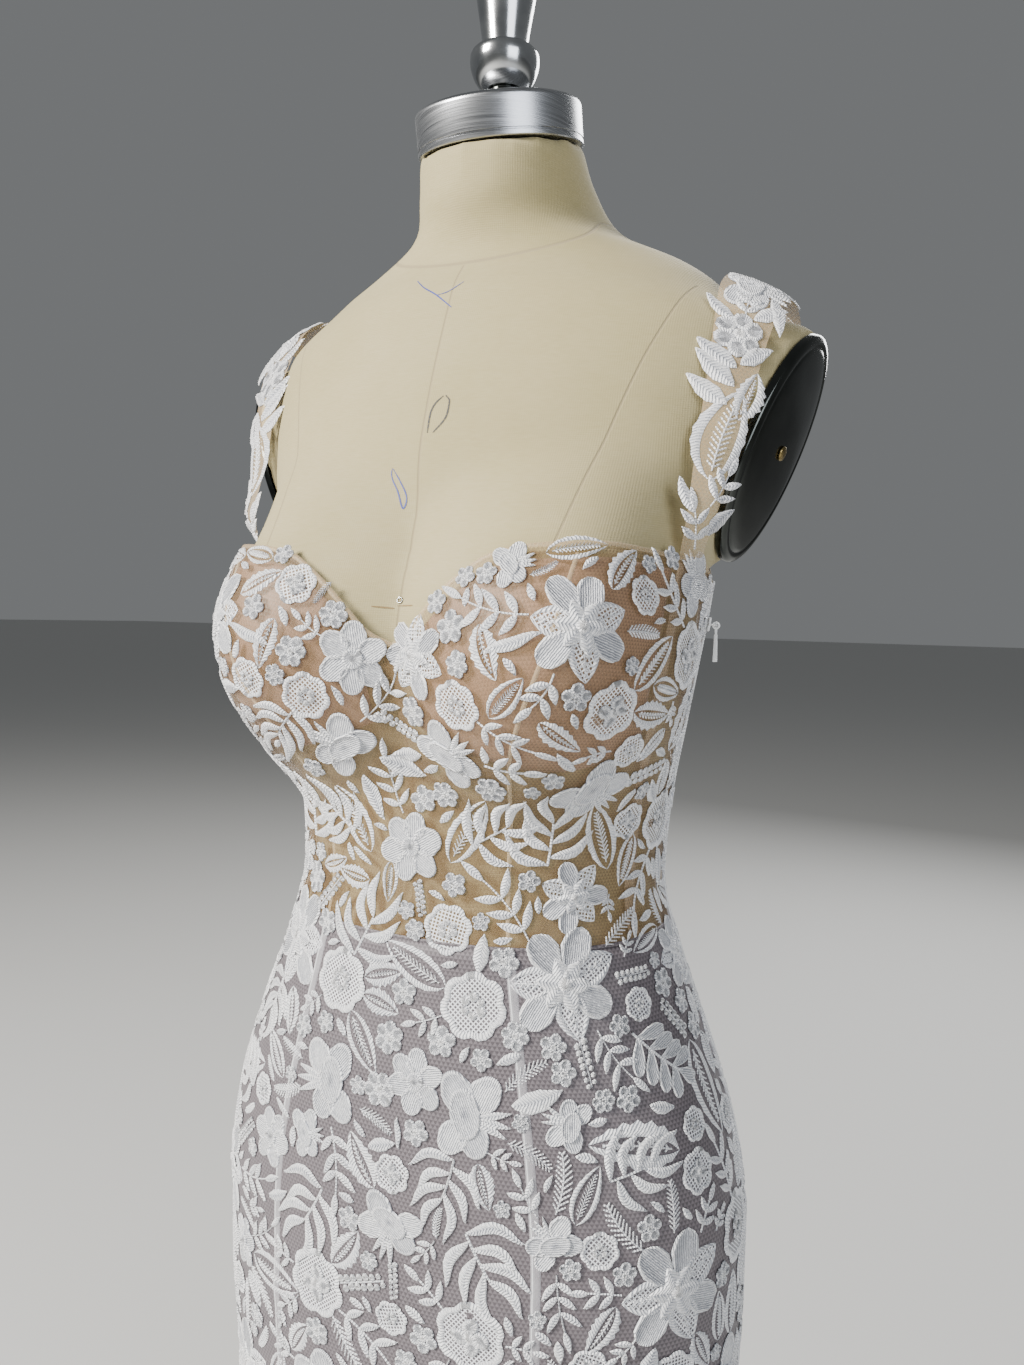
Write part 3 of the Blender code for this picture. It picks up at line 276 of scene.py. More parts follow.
def form_surface(angle, level):
    """Points of the dress form: the dress drawn in by its clearance, then its own shoulders."""
    angle, level = np.broadcast_arrays(np.asarray(angle, float), np.asarray(level, float))
    low, high = CHEST_BLEND
    share = np.clip((level - low) / (high - low), 0, 1)[..., None]
    share = share * share * (3 - 2 * share)
    under_dress = cloth(angle, np.minimum(level, high), -FORM_CLEARANCE)
    under_dress[level <= FORM_FOOT, 2] = FORM_FOOT + WAIST
    bare = surface(angle, level, section=shoulder_section, bust_depth=FORM_BUST_DEPTH)
    points = under_dress * (1 - share) + bare * share
    lean = np.clip((points[..., 2] - WAIST - NECK_BASE) / (NECK_TOP - NECK_BASE), 0, 1)
    points[..., 2] += np.tan(NECK_TILT * lean) * points[..., 1]
    return points


# Soft creases in the cloth. Columns: azimuth, level, length, width, height (metres), slope (degrees
# from level).
CREASES = (
    (4.0, -0.235, 0.110, 0.010, 0.0011, 8),
    (-30.0, -0.262, 0.120, 0.011, 0.0012, -10),
    (58.0, -0.300, 0.100, 0.010, 0.0012, 14),
    (96.0, -0.050, 0.070, 0.006, 0.0009, 24),
    (-96.0, -0.050, 0.070, 0.006, 0.0009, -24),
    (150.0, -0.060, 0.080, 0.007, 0.0011, 12),
    (-150.0, -0.064, 0.080, 0.007, 0.0011, -10),
    (165.0, -0.300, 0.120, 0.012, 0.0015, -12),
    (-160.0, -0.330, 0.130, 0.012, 0.0015, 9),
    (120.0, -0.420, 0.140, 0.014, 0.0018, 16),
    (-112.0, -0.440, 0.150, 0.014, 0.0018, -15),
    (20.0, -0.470, 0.150, 0.014, 0.0016, -12),
    (-35.0, -0.500, 0.140, 0.013, 0.0017, 12),
    (75.0, -0.520, 0.140, 0.014, 0.0018, -18),
)

CREASE_RADIUS = 0.17  # of the body, where the creases are measured
CREASE_BOW = 2.0  # how much they hang


def creases(angle, level):
    """How far the cloth's soft creases stand out."""
    angle, level = np.broadcast_arrays(np.asarray(angle, float), np.asarray(level, float))
    out = np.zeros(angle.shape)
    for azimuth, middle, length, width, height, slope in CREASES:
        turn = (angle - math.radians(azimuth) + np.pi) % (2 * np.pi) - np.pi
        x, z = turn * CREASE_RADIUS, level - middle
        tilt = math.radians(slope)
        along = x * math.cos(tilt) + z * math.sin(tilt)
        across = z * math.cos(tilt) - x * math.sin(tilt) + CREASE_BOW * along**2
        out += height * np.exp(-((along / length * 2) ** 2) - (across / width) ** 2)
    return out


def worn(angle, level, out=0.0):
    """Points of the worn cloth with its creases, moved out by a distance."""
    return cloth(angle, level, np.asarray(out, float) + creases(angle, level))


# ---------------------------------------------------------------- meshes
def new_piece(name, points, faces, finish, uv=None):
    """A piece from points and faces of one size (triangles or quads). uv is one pair for each point,
    kept as the map "cloth"."""
    points, faces = np.asarray(points, float), np.asarray(faces, np.int32)
    mesh = bpy.data.meshes.new(name)
    mesh.vertices.add(len(points))
    mesh.vertices.foreach_set("co", points.ravel())
    mesh.loops.add(faces.size)
    mesh.loops.foreach_set("vertex_index", faces.ravel())
    mesh.polygons.add(len(faces))
    mesh.polygons.foreach_set("loop_start", np.arange(len(faces), dtype=np.int32) * faces.shape[1])
    mesh.update(calc_edges=True)
    if uv is not None:
        layer = mesh.uv_layers.new(name="cloth")
        layer.data.foreach_set("uv", np.asarray(uv, float)[faces.ravel()].ravel())
    mesh.shade_smooth()
    for one in finish if isinstance(finish, (list, tuple)) else [finish]:
        mesh.materials.append(one)
    return riding(name, mesh)


def riding(name, mesh):
    """An object for a mesh, riding on the dress."""
    made = bpy.data.objects.new(name, mesh)
    bpy.context.scene.collection.objects.link(made)
    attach(made, DRESS)
    return made


def slot_and_replace(piece, name, *nodes):
    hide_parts(*nodes)


def grid_faces(rows, columns, closed=False):
    """Quads over a grid of points, row by row; closed joins the last column to the first."""
    last = columns if closed else columns - 1
    row, left = np.meshgrid(np.arange(rows - 1) * columns, np.arange(last), indexing="ij")
    right = (left + 1) % columns
    quads = np.stack([row + left, row + right, row + columns + right, row + columns + left], -1)
    return quads.reshape(-1, 4)


def triangles(quads):
    return np.vstack([quads[:, [0, 1, 2]], quads[:, [0, 2, 3]]])


def run_along(points):
    """The distance along a line of points, from its first."""
    steps = np.linalg.norm(np.diff(points, axis=0), axis=-1)
    return np.concatenate([[0], np.cumsum(steps)])


def axes_matrix(place, *axes):
    """A matrix at a place whose X, Y and Z run along three directions."""
    return Matrix.Translation(place) @ Matrix(axes).transposed().to_4x4()


def select(piece):
    """Makes one object the only selected and the active one."""
    bpy.ops.object.select_all(action="DESELECT")
    piece.select_set(True)
    bpy.context.view_layer.objects.active = piece


def walled(piece, thickness):
    """Gives a sheet its wall on the inner side."""
    shell = piece.modifiers.new("Wall", "SOLIDIFY")
    shell.thickness = thickness
    shell.offset = -1
    select(piece)
    bpy.ops.object.modifier_apply(modifier=shell.name)
    return piece


def added(primitive, name, finish, **settings):
    """A primitive added at its size and place, with its name and finish."""
    bpy.ops.object.select_all(action="DESELECT")
    primitive(**settings)
    made = bpy.context.object
    made.name = made.data.name = name
    made.data.materials.append(finish)
    return made


def mirror_piece(piece, name):
    """A copy of a piece on the other side of the centre front."""
    mesh = piece.data.copy()
    mesh.transform(MIRROR)
    mesh.flip_normals()
    return riding(name, mesh)


# ---------------------------------------------------------------- finishes
# The main tones that a user can change.
# The net's tone is the tulle's nude darkened by painted shade.
LACE_WHITE, NET_NUDE_AND_SHADE, LINING_GREY, LINEN_ECRU = "#FFFFFF", "#937349", "#564F53", "#B4A984"


def linear(hex_colour):
    """Linear RGBA from an sRGB hex value."""
    channels = [int(hex_colour[i : i + 2], 16) / 255 for i in (1, 3, 5)]
    return [c / 12.92 if c <= 0.04045 else ((c + 0.055) / 1.055) ** 2.4 for c in channels] + [1.0]


def add_node(tree, kind, sockets=(), to=None, stops=(), **settings):
    """Adds a node with its settings and links. Each of its sockets is given a value, or linked to
    another node's result or to an output socket. to is the socket that it feeds, and stops are a
    colour ramp's (position, colour) pairs, with hex or linear colours."""
    made = tree.nodes.new("ShaderNode" + kind)
    for name, value in settings.items():
        setattr(made, name, value)
    for socket, value in dict(sockets).items():
        if isinstance(value, bpy.types.Node):
            value = value.outputs[0]
        if isinstance(value, bpy.types.NodeSocket):
            tree.links.new(value, made.inputs[socket])
        else:
            made.inputs[socket].default_value = value
    while stops and len(made.color_ramp.elements) < len(stops):
        made.color_ramp.elements.new(0.5)
    for number, (position, colour) in enumerate(stops):
        mark = made.color_ramp.elements[number]
        mark.position = position
        mark.color = linear(colour) if isinstance(colour, str) else colour
    if to:
        tree.links.new(made.outputs[2 if kind == "Mix" else 0], to)
    return made


def new_finish(name, **shader_values):
    """A material with a Principled shader. Values are given by socket name with _ for a space. Gives
    the material, its node tree and the shader's sockets."""
    made = bpy.data.materials.new(name)
    made.use_nodes = True
    sockets = made.node_tree.nodes["Principled BSDF"].inputs
    for socket, value in shader_values.items():
        sockets[socket.replace("_", " ")].default_value = value
    return made, made.node_tree, sockets


def tones(colour, *stops):
    """Ramp stops moved with a colour that is usually the last one's, so that each keeps its share of it."""
    usual = linear(stops[-1][1])
    share = [new / old for new, old in zip(colour, usual)]
    return [(at, [c * s for c, s in zip(linear(tone), share)]) for at, tone in stops]


def clouded(tree, sockets, scale, detail, dark, light, place=None):
    """Colours a finish in soft clouds of two tones, and gives the clouds."""
    place = place or add_node(tree, "TexCoord").outputs["Object"]
    cloud = add_node(tree, "TexNoise", {0: place, "Scale": scale, "Detail": detail})
    add_node(tree, "ValToRGB", {0: cloud}, sockets["Base Color"], ((0.3, dark), (0.7, light)))
    return cloud


def thread_lines(tree, source, spacing):
    """A wave from 0 to 1 over a coordinate, once for each thread spacing."""
    turn = add_node(tree, "Math", {0: source, 1: 2 * math.pi / spacing}, operation="MULTIPLY")
    wave = add_node(tree, "Math", {0: turn}, operation="SINE")
    return add_node(tree, "MapRange", {0: wave, 1: -1.0, 2: 1.0, 3: 0.0, 4: 1.0})


def crossed_threads(tree, turns, spacing):
    """Waves over the map "cloth" in metres, one for each turn in degrees."""
    flat = add_node(tree, "UVMap", uv_map="cloth")
    waves = []
    for turn in turns:
        place = add_node(tree, "Mapping", {0: flat, 2: (0, 0, math.radians(turn))})
        across = add_node(tree, "SeparateXYZ", {0: place})
        waves.append(thread_lines(tree, across.outputs[0], spacing))
    return waves


def net_lines(tree, cell, share):
    """1 on the threads of a hexagon net and 0 in its holes. Three sets of lines 60 degrees apart are cut
    into a hexagon-like net by keeping where two of them meet."""
    first, second, third = crossed_threads(tree, (30, 90, 150), cell)
    both = add_node(tree, "Math", {0: first, 1: second}, operation="ADD")
    both = add_node(tree, "Math", {0: both, 1: third}, operation="ADD")
    return add_node(tree, "MapRange", {0: both, 1: 1.5 - share, 2: 1.5 + share, 3: 1.0, 4: 0.0})


def lace_thread(colour):
    """Rayon embroidery thread, machine stitched in satin stitch: bright white, lying in parallel
    ridges that turn with each petal. Its greys are painted light: painted shade in the valleys between
    threads and in the low parts of a motif, painted highlight on its raised cords, and a painted sheen
    that differs from petal to petal. The ridges are 0.5 mm apart on the real lace and drawn 1.9 mm apart."""
    made, tree, sockets = new_finish(
        "rayon lace thread", Roughness=0.42, Sheen_Weight=0.2, Sheen_Roughness=0.4, IOR=1.52
    )
    place = add_node(tree, "TexCoord").outputs["Object"]
    stitch = add_node(tree, "SeparateXYZ", {0: add_node(tree, "UVMap", uv_map="cloth")})
    wander = add_node(tree, "TexNoise", {0: place, "Scale": 420.0, "Detail": 3.0})
    wavy = add_node(tree, "Math", {0: wander, 1: 1.6 * MM, 2: stitch}, operation="MULTIPLY_ADD")
    ridges = thread_lines(tree, wavy, 1.9 * MM)
    # Painted light: the map's second coordinate is each point's level of painted shade and highlight, and the
    # ridges add painted shade between threads.
    shade = add_node(tree, "Math", {0: stitch.outputs[1], 1: 0.62}, operation="MULTIPLY")
    shade = add_node(tree, "Math", {0: ridges, 1: 0.34, 2: shade}, operation="MULTIPLY_ADD")
    shade = add_node(tree, "Math", {0: wander, 1: 0.30, 2: shade}, operation="MULTIPLY_ADD")
    # The ramp runs from painted shade in grey to the thread's own white.
    painted_shade_to_white = tones(colour, (0.28, "#7A7D87"), (0.50, "#B8BBC3"), (0.71, "#ECEEF1"), (0.86, LACE_WHITE))
    add_node(tree, "ValToRGB", {0: shade}, sockets["Base Color"], painted_shade_to_white)
    height = add_node(tree, "Math", {0: wander, 1: 0.8, 2: ridges}, operation="MULTIPLY_ADD")
    add_node(tree, "Bump", {"Height": height, "Strength": 1.0, "Distance": 0.0008}, sockets["Normal"])
    return made


def lace_filling():
    """Open embroidered mesh inside roses and leaves: white threads crossed in squares, with the cloth
    showing through the holes. The squares are 1 mm wide on the real lace and drawn 2.1 mm wide."""
    made, tree, sockets = new_finish("embroidered mesh filling", Roughness=0.55)
    sockets["Base Color"].default_value = linear("#EDEFF2")
    first, second = crossed_threads(tree, (40, 130), 2.1 * MM)
    both = add_node(tree, "Math", {0: first, 1: second}, operation="MAXIMUM")
    add_node(tree, "MapRange", {0: both, 1: 0.66, 2: 0.86, 3: 0.03, 4: 1.0}, sockets["Alpha"])
    return made


def tulle(name, cell, tone_stops, cover):
    """A hexagon net of fine nylon thread, nearly see-through and a little shiny. Its real cells are
    1 mm wide and are drawn twice as wide. cover is how opaque a hole and a thread are."""
    made, tree, sockets = new_finish(name, Roughness=0.5, Sheen_Weight=0.2, IOR=1.53)
    threads = net_lines(tree, cell, 0.35)
    add_node(tree, "ValToRGB", {0: threads}, sockets["Base Color"], tone_stops)
    add_node(tree, "MapRange", {0: threads, 3: cover[0], 4: cover[1]}, sockets["Alpha"])
    add_node(tree, "Bump", {"Height": threads, "Strength": 0.3, "Distance": 0.0001}, sockets["Normal"])
    return made


def nude_net(colour):
    """Knitted nude nylon tulle, one layer. Its brown is the tulle's nude darkened all over by painted
    shade, and its threads are darker than its holes.
    """
    stops = tones(colour, (1.0, "#785E3D"), (0.0, NET_NUDE_AND_SHADE))[::-1]
    return tulle("nude nylon tulle", 1.9 * MM, stops, (0.35, 0.62))


def strap_net():
    """The same tulle laid double on the straps and along the edges, so paler and less clear."""
    return tulle("doubled nude tulle", 2.2 * MM, ((0.0, "#D8C3A0"), (1.0, "#B99F78")), (0.35, 0.66))


def cup_lining():
    """Moulded cup covered in nude microfibre jersey: smooth, matt and pinkish beige."""
    made, tree, sockets = new_finish("nude microfibre cup", Roughness=0.62, Sheen_Weight=0.25)
    clouded(tree, sockets, 26.0, 3.0, "#B59078", "#C7A38B")
    knit = add_node(tree, "TexNoise", {0: add_node(tree, "TexCoord").outputs["Object"], "Scale": 1400.0})
    add_node(tree, "Bump", {"Height": knit, "Strength": 0.25, "Distance": 0.0001}, sockets["Normal"])
    return made


def skirt_lining(colour):
    """Polyester satin lining under a layer of ivory tulle: mauve grey with a soft sheen, and the net's
    cells drawn over it, 2.4 mm wide where the real ones are 1.2 mm. Its large soft clouds of darker
    and lighter grey are painted shade of shallow folds."""
    made, tree, sockets = new_finish(
        "lilac grey satin under tulle", Roughness=0.55, Sheen_Weight=0.15, Sheen_Roughness=0.4
    )
    place = add_node(tree, "TexCoord").outputs["Object"]
    threads = net_lines(tree, 2.4 * MM, 0.4)
    # Painted shade: large soft clouds that stand in for the shade of shallow folds.
    soft = add_node(tree, "TexNoise", {0: place, "Scale": 9.0, "Detail": 2.0})
    lining_with_fold_shade = add_node(tree, "ValToRGB", {0: soft}, stops=tones(colour, (0.3, "#4A4448"), (0.7, LINING_GREY)))
    mixed = {0: threads, 6: lining_with_fold_shade, 7: linear("#6F686C")}
    add_node(tree, "Mix", mixed, sockets["Base Color"], data_type="RGBA")
    add_node(tree, "Bump", {"Height": threads, "Strength": 0.35, "Distance": 0.00015}, sockets["Normal"])
    return made


def seam_binding():
    """Narrow bias strip of doubled white organza that binds a seam: pale, thin and slightly shiny."""
    made, *nodes = new_finish("organza seam strip", Roughness=0.5, Sheen_Weight=0.3, Alpha=0.4)
    clouded(*nodes, 120.0, 3.0, "#D6D3D8", "#E9E7EB")
    return made


def bone_channel():
    """Boning channel: a nude satin ribbon sewn over a flat bone, seen through the net."""
    made, *nodes = new_finish("nude boning channel", Roughness=0.45, Sheen_Weight=0.3, Alpha=0.75)
    clouded(*nodes, 60.0, 2.0, "#CDB493", "#DCC8AA")
    return made


SEAM_MEASURES = ("neck_seam", "middle_seam", "princess_seam")  # signed distances in millimetres
FAR_OFF = 50.0  # millimetres, past which the distance to a seam isn't kept


def linen(colour):
    """Unbleached linen stretched over padding: a plain weave with a thread about every 0.6 mm, drawn
    as 1.2 mm, with uneven slubs, faint stains and sewn seams drawn from the piece's own measures."""
    made, tree, sockets = new_finish("unbleached linen cover", Roughness=0.85, Sheen_Weight=0.15)
    place = add_node(tree, "TexCoord").outputs["Object"]
    spots = add_node(tree, "TexNoise", {0: place, "Scale": 5.0, "Detail": 4.0, "Roughness": 0.6})
    slubs = add_node(tree, "Mapping", {0: place, 3: (1.0, 1.0, 9.0)})
    slubs = add_node(tree, "TexNoise", {0: slubs, "Scale": 150.0, "Detail": 2.0})
    mixed = add_node(tree, "Math", {0: slubs, 1: 0.35, 2: spots}, operation="MULTIPLY_ADD")
    stops = tones(colour, (0.45, "#A4986B"), (0.68, "#ADA177"), (0.9, LINEN_ECRU))
    cloth_colour = add_node(tree, "ValToRGB", {0: mixed}, stops=stops)
    wave = {0: place, "Scale": 260.0, "Distortion": 1.0}
    warp, weft = (add_node(tree, "TexWave", wave, bands_direction=axis).outputs[1] for axis in "ZX")
    weave = add_node(tree, "Math", {0: warp, 1: weft}, operation="ADD")
    nearest = FAR_OFF
    for name in SEAM_MEASURES:
        off = add_node(tree, "Attribute", attribute_name=name).outputs["Fac"]
        off = add_node(tree, "Math", {0: off}, operation="ABSOLUTE")
        nearest = add_node(tree, "Math", {0: off, 1: nearest}, operation="MINIMUM")
    seam = add_node(tree, "MapRange", {0: nearest, 1: 0.35, 2: 0.95, 3: 1.0, 4: 0.0})
    sewn_in = {0: seam, 6: cloth_colour, 7: linear("#9C8F6C")}
    add_node(tree, "Mix", sewn_in, sockets["Base Color"], data_type="RGBA")
    height = add_node(tree, "Math", {0: seam, 1: -6.0, 2: weave}, operation="MULTIPLY_ADD")
    add_node(tree, "Bump", {"Height": height, "Strength": 0.4, "Distance": 0.00012}, sockets["Normal"])
    return made


def brushed_steel():
    """Stainless steel turned on a lathe and brushed round: fine rings, and bands of light and dark."""
    made, tree, sockets = new_finish(
        "turned brushed stainless steel", Metallic=1.0, Roughness=0.26, Anisotropic=0.5
    )
    place = add_node(tree, "TexCoord").outputs["Object"]
    flattened = add_node(tree, "Mapping", {0: place, 3: (3.0, 3.0, 260.0)})
    rings = clouded(tree, sockets, 9.0, 3.0, "#9B9DA0", "#C3C5C8", flattened)
    add_node(tree, "MapRange", {0: rings, 3: 0.18, 4: 0.36}, sockets["Roughness"])
    add_node(tree, "Bump", {"Height": rings, "Strength": 0.08, "Distance": 0.0001}, sockets["Normal"])
    return made


def polished_steel():
    """Stainless steel turned and polished: nearly a mirror, with faint smears."""
    made, tree, sockets = new_finish("polished stainless steel", Metallic=1.0, Roughness=0.14)
    smears = clouded(tree, sockets, 70.0, 4.0, "#B3B5B7", "#C9CBCC")
    add_node(tree, "MapRange", {0: smears, 3: 0.08, 4: 0.26}, sockets["Roughness"])
    return made


def dark_plate():
    """Black nickel plate on pressed steel, polished: dark, with sharp bright reflections."""
    made, tree, sockets = new_finish("polished black nickel", Metallic=1.0, Roughness=0.12)
    smears = clouded(tree, sockets, 40.0, 5.0, "#3C3F3D", "#505350")
    add_node(tree, "MapRange", {0: smears, 3: 0.07, 4: 0.22}, sockets["Roughness"])
    return made


def aged_brass():
    """Brass screw, turned and dulled by handling: darker and browner in spots."""
    made, *nodes = new_finish("dulled brass", Metallic=1.0, Roughness=0.35)
    clouded(*nodes, 500.0, 3.0, "#7A6A45", "#A08E5F")
    return made


def enamelled_zinc():
    """Die-cast zinc zip slider dipped in white enamel: smooth, glossy and slightly uneven."""
    made, *nodes = new_finish("white enamelled zinc", Roughness=0.28, Coat_Weight=0.4)
    clouded(*nodes, 300.0, 3.0, "#E6E7E6", "#F4F5F4")
    return made


def pen_ink(name, hex_colour):
    """Ball pen ink soaked into linen: thin, uneven and slightly shiny."""
    made, tree, sockets = new_finish(name, Roughness=0.6)
    sockets["Base Color"].default_value = linear(hex_colour)
    place = add_node(tree, "TexCoord").outputs["Object"]
    patchy = add_node(tree, "TexNoise", {0: place, "Scale": 900.0, "Detail": 2.0})
    add_node(tree, "MapRange", {0: patchy, 1: 0.3, 2: 0.55, 3: 0.45, 4: 1.0}, sockets["Alpha"])
    return made


# ---------------------------------------------------------------- cloth panels
def neckline(angle):
    return top_edge(np.abs(np.degrees(angle)))[..., 0]


def princess(level):
    return princess_seam(level)[..., 0]


def fixed(value):
    """A line that stays at one azimuth, or at one level."""
    return lambda at: np.full(np.shape(at), value)


def opposite(azimuth_of):
    return lambda level: -azimuth_of(level)


waistline, hemline = fixed(WAIST_SEAM), fixed(HEM)


SKIRT_STEP = 0.009
CUP_SIDES = (4.0, 69.0)  # azimuths of the left cup's edges
CUP_TOP_GAP = 0.007  # under the neckline
CUP_WALL = 0.0010
CUP_GRID, STRAP_GRID = (34, 46), (110, 12)  # rows and columns
# Columns: piece, its left and right side, its cut: width, length (metres) and area (square metres).
BODICE_PANELS = (
    ("bodice_front", opposite(princess), princess, (0.21, 0.25, 0.034)),
    ("bodice_side_front_left", princess, fixed(SIDE_FRONT_SEAM), (0.12, 0.26, 0.020)),
    ("bodice_side_left", fixed(SIDE_FRONT_SEAM), fixed(SIDE_SEAM), (0.08, 0.23, 0.017)),
    ("bodice_back_left", fixed(SIDE_SEAM), fixed(180.0), (0.19, 0.24, 0.028)),
    ("bodice_side_front_right", fixed(-SIDE_FRONT_SEAM), opposite(princess), (0.12, 0.26, 0.020)),
    ("bodice_side_right", fixed(-SIDE_SEAM), fixed(-SIDE_FRONT_SEAM), (0.08, 0.23, 0.017)),
    ("bodice_back_right", fixed(-180.0), fixed(-SIDE_SEAM), (0.19, 0.24, 0.028)),
)
SKIRT_PANELS = (
    ("skirt_front", opposite(princess), princess, (0.46, 1.06, 0.24)),
    ("skirt_side_front_left", princess, fixed(SIDE_SEAM), (0.56, 1.07, 0.28)),
    ("skirt_back_left", fixed(SIDE_SEAM), fixed(180.0), (0.66, 1.10, 0.335)),
    ("skirt_side_front_right", fixed(-SIDE_SEAM), opposite(princess), (0.56, 1.07, 0.28)),
    ("skirt_back_right", fixed(-180.0), fixed(-SIDE_SEAM), (0.66, 1.10, 0.335)),
)


def panel_grid(left, right, low_edge, high_edge, rows, columns):
    """Angles and levels of a grid that fills a panel between two seams and two edges."""
    down, side = np.meshgrid(np.linspace(0, 1, rows), np.linspace(0, 1, columns), indexing="ij")
    level = np.full(down.shape, 0.5 * (low_edge(0.5) + high_edge(0.5)))
    for _ in range(12):  # settles where the edges slope
        start, end = np.radians(left(level)), np.radians(right(level))
        angle = start + side * (end - start)
        level = low_edge(angle) + down * (high_edge(angle) - low_edge(angle))
    by_angle, _ = tangents(angle, level)
    inset = SEAM_GAP / 2 / np.linalg.norm(by_angle, axis=-1)
    angle = np.where(side == 0, angle + inset, np.where(side == 1, angle - inset, angle))
    return angle, level


def unrolled(points):
    """Metres across and along a grid of points, as if it were laid flat from its middle column."""
    across = np.array([run_along(row) for row in points])
    middle = points.shape[1] // 2
    across -= across[:, middle : middle + 1]
    along = run_along(points[:, middle])
    return np.stack([across, np.broadcast_to(along[:, None], across.shape)], -1)


def grid_piece(name, points, finish):
    """A piece from a grid of points, with its map in metres."""
    rows, columns = points.shape[:2]
    uv = unrolled(points).reshape(-1, 2)
    return new_piece(name, points.reshape(-1, 3), grid_faces(rows, columns), finish, uv=uv)


def panel(name, left, right, low_edge, high_edge, finish, step, wall=0.0):
    """A panel of cloth on the worn dress, from seam to seam."""
    angle, level = panel_grid(left, right, low_edge, high_edge, 3, 3)
    size = worn(angle, level)
    width = np.linalg.norm(np.diff(size, axis=1), axis=-1).sum(1).max()
    length = np.linalg.norm(np.diff(size, axis=0), axis=-1).sum(0).max()
    rows, columns = int(length / step) + 2, int(width / step) + 2
    angle, level = panel_grid(left, right, low_edge, high_edge, rows, columns)
    piece = grid_piece(name, worn(angle, level), finish)
    return walled(piece, wall) if wall else piece


def surface_path(path, sideways):
    """Angles and levels a distance to the side of a path over the cloth."""
    by_angle, by_level = tangents(path[:, 0], path[:, 1])
    per_angle, per_level = np.linalg.norm(by_angle, axis=-1), np.linalg.norm(by_level, axis=-1)
    run = np.gradient(path, axis=0) * np.stack([per_angle, per_level], -1)
    run /= np.linalg.norm(run, axis=1, keepdims=True)
    side = np.stack([-run[:, 1] / per_angle, run[:, 0] / per_level], -1)
    return path + side * sideways


def strip(name, path, section, finish, lift=0.0, swell=1.0):
    """A narrow strip of cloth laid along a path over the dress. section is (side, height) pairs in
    metres across it, and swell is a share of those heights, or one for each point of the path."""
    lines = []
    for side, height in section:
        spots = surface_path(path, side)
        lines.append(worn(spots[:, 0], spots[:, 1], height * swell + lift))
    return grid_piece(name, np.stack(lines, 1)[:, ::-1], finish)


def seam_line(azimuth_of, low, high, step=0.004):
    """A path up a seam, from a lower to an upper level."""
    levels = np.linspace(low, high, int(abs(high - low) / step) + 2)
    return np.stack([np.radians(azimuth_of(levels)), levels], -1)


def round_line(level, step):
    """A path round the dress at one level, with a point for each step in degrees."""
    turns = np.radians(np.arange(-180, 180.1, step))
    return np.stack([turns, np.full(turns.shape, level)], -1)


# ---------------------------------------------------------------- straps
def strap_reader():
    """A function that gives a point of the wearer's left strap and the direction out of it, for
    shares along it (front to back) and across it (inner to outer edge)."""
    ends = []
    for inner, outer in STRAP_ENDS:
        pair = [cloth(math.radians(a), float(top_edge(a)[0]) + SEAM_GAP) for a in (inner, outer)]
        ends.append(np.concatenate(pair))
    path = np.array(STRAP_PATH)
    path[:, [2, 5]] += WAIST
    stations = np.vstack([ends[0], path, ends[1]])
    run = run_along(stations[:, :3] + stations[:, 3:])
    return smooth_table(np.column_stack([run / run[-1], stations]))


read_strap = strap_reader()


def bare_strap(along, across):
    """Points of the wearer's left strap, slightly crowned across."""
    station = read_strap(along)
    inner, outer = station[..., :3], station[..., 3:]
    aside, y, level = STRAP_AWAY
    away = np.stack([
        np.full(along.shape, aside), (inner + outer)[..., 1] / 2 - y, inner[..., 2] - WAIST - level
    ], -1)
    away /= np.linalg.norm(away, axis=-1, keepdims=True)
    crown = STRAP_CROWN * np.sin(np.pi * np.clip(across, 0, 1))
    return inner + (outer - inner) * across[..., None] + away * crown[..., None]


def strap(along, across, out=0.0):
    """Points of the wearer's left strap, moved out by a distance."""
    along, across = np.broadcast_arrays(np.asarray(along, float), np.asarray(across, float))
    small = 0.004
    ahead, back = np.clip(along + small, 0, 1), np.clip(along - small, 0, 1)
    by_across = bare_strap(along, across + small) - bare_strap(along, across - small)
    normal = np.cross(by_across, bare_strap(ahead, across) - bare_strap(back, across))
    normal /= np.linalg.norm(normal, axis=-1, keepdims=True)
    return bare_strap(along, across) + normal * np.asarray(out, float)[..., None]


# ---------------------------------------------------------------- the dress form
def plate_frame():
    """(centre, across, up, out) of the armhole plate on the wearer's left."""
    turn = Matrix.Rotation(-PLATE_TURN, 3, "Z") @ Matrix.Rotation(PLATE_LEAN, 3, "Y")
    turn = turn @ Matrix.Rotation(-PLATE_RAKE, 3, "X")
    out, across, up = turn.transposed()
    return Vector(PLATE_CENTRE), across, up, out


def plate_place(side):
    """A matrix whose +X runs across the plate, +Y up it and +Z out of it. side is 1 for the wearer's
    left and -1 for the right."""
    place = axes_matrix(*plate_frame())
    return place if side > 0 else MIRROR @ place @ MIRROR


FORM_COLUMNS = 176
FORM_ROW = 0.0055
FORM_VOXEL = 0.0050
# Rim of linen round an armhole. Columns: distance out, share of the plate's size, rim's width.
ARM_RIM = (
    (-0.055, 0.80, 0.0),
    (-0.030, 1.00, 0.0034),
    (-0.014, 1.00, 0.0034),
    (-0.003, 1.00, 0.0030),
    (0.0000, 1.00, 0.0012),
)
RIM_SIDES = 96


def closed_tube(grid):
    """Points and triangles of a tube from a grid of rings, foot first, closed at both ends."""
    rings, sides = grid.shape[:2]
    points = np.vstack([grid.reshape(-1, 3), grid[0].mean(0)[None], grid[-1].mean(0)[None]])
    here = np.arange(sides)
    ahead = (here + 1) % sides
    foot, top, last = rings * sides, rings * sides + 1, (rings - 1) * sides
    caps = [
        np.stack([np.full(sides, foot), ahead, here], 1),
        np.stack([np.full(sides, top), last + here, last + ahead], 1),
    ]
    return points, np.vstack([triangles(grid_faces(rings, sides, closed=True)), *caps])


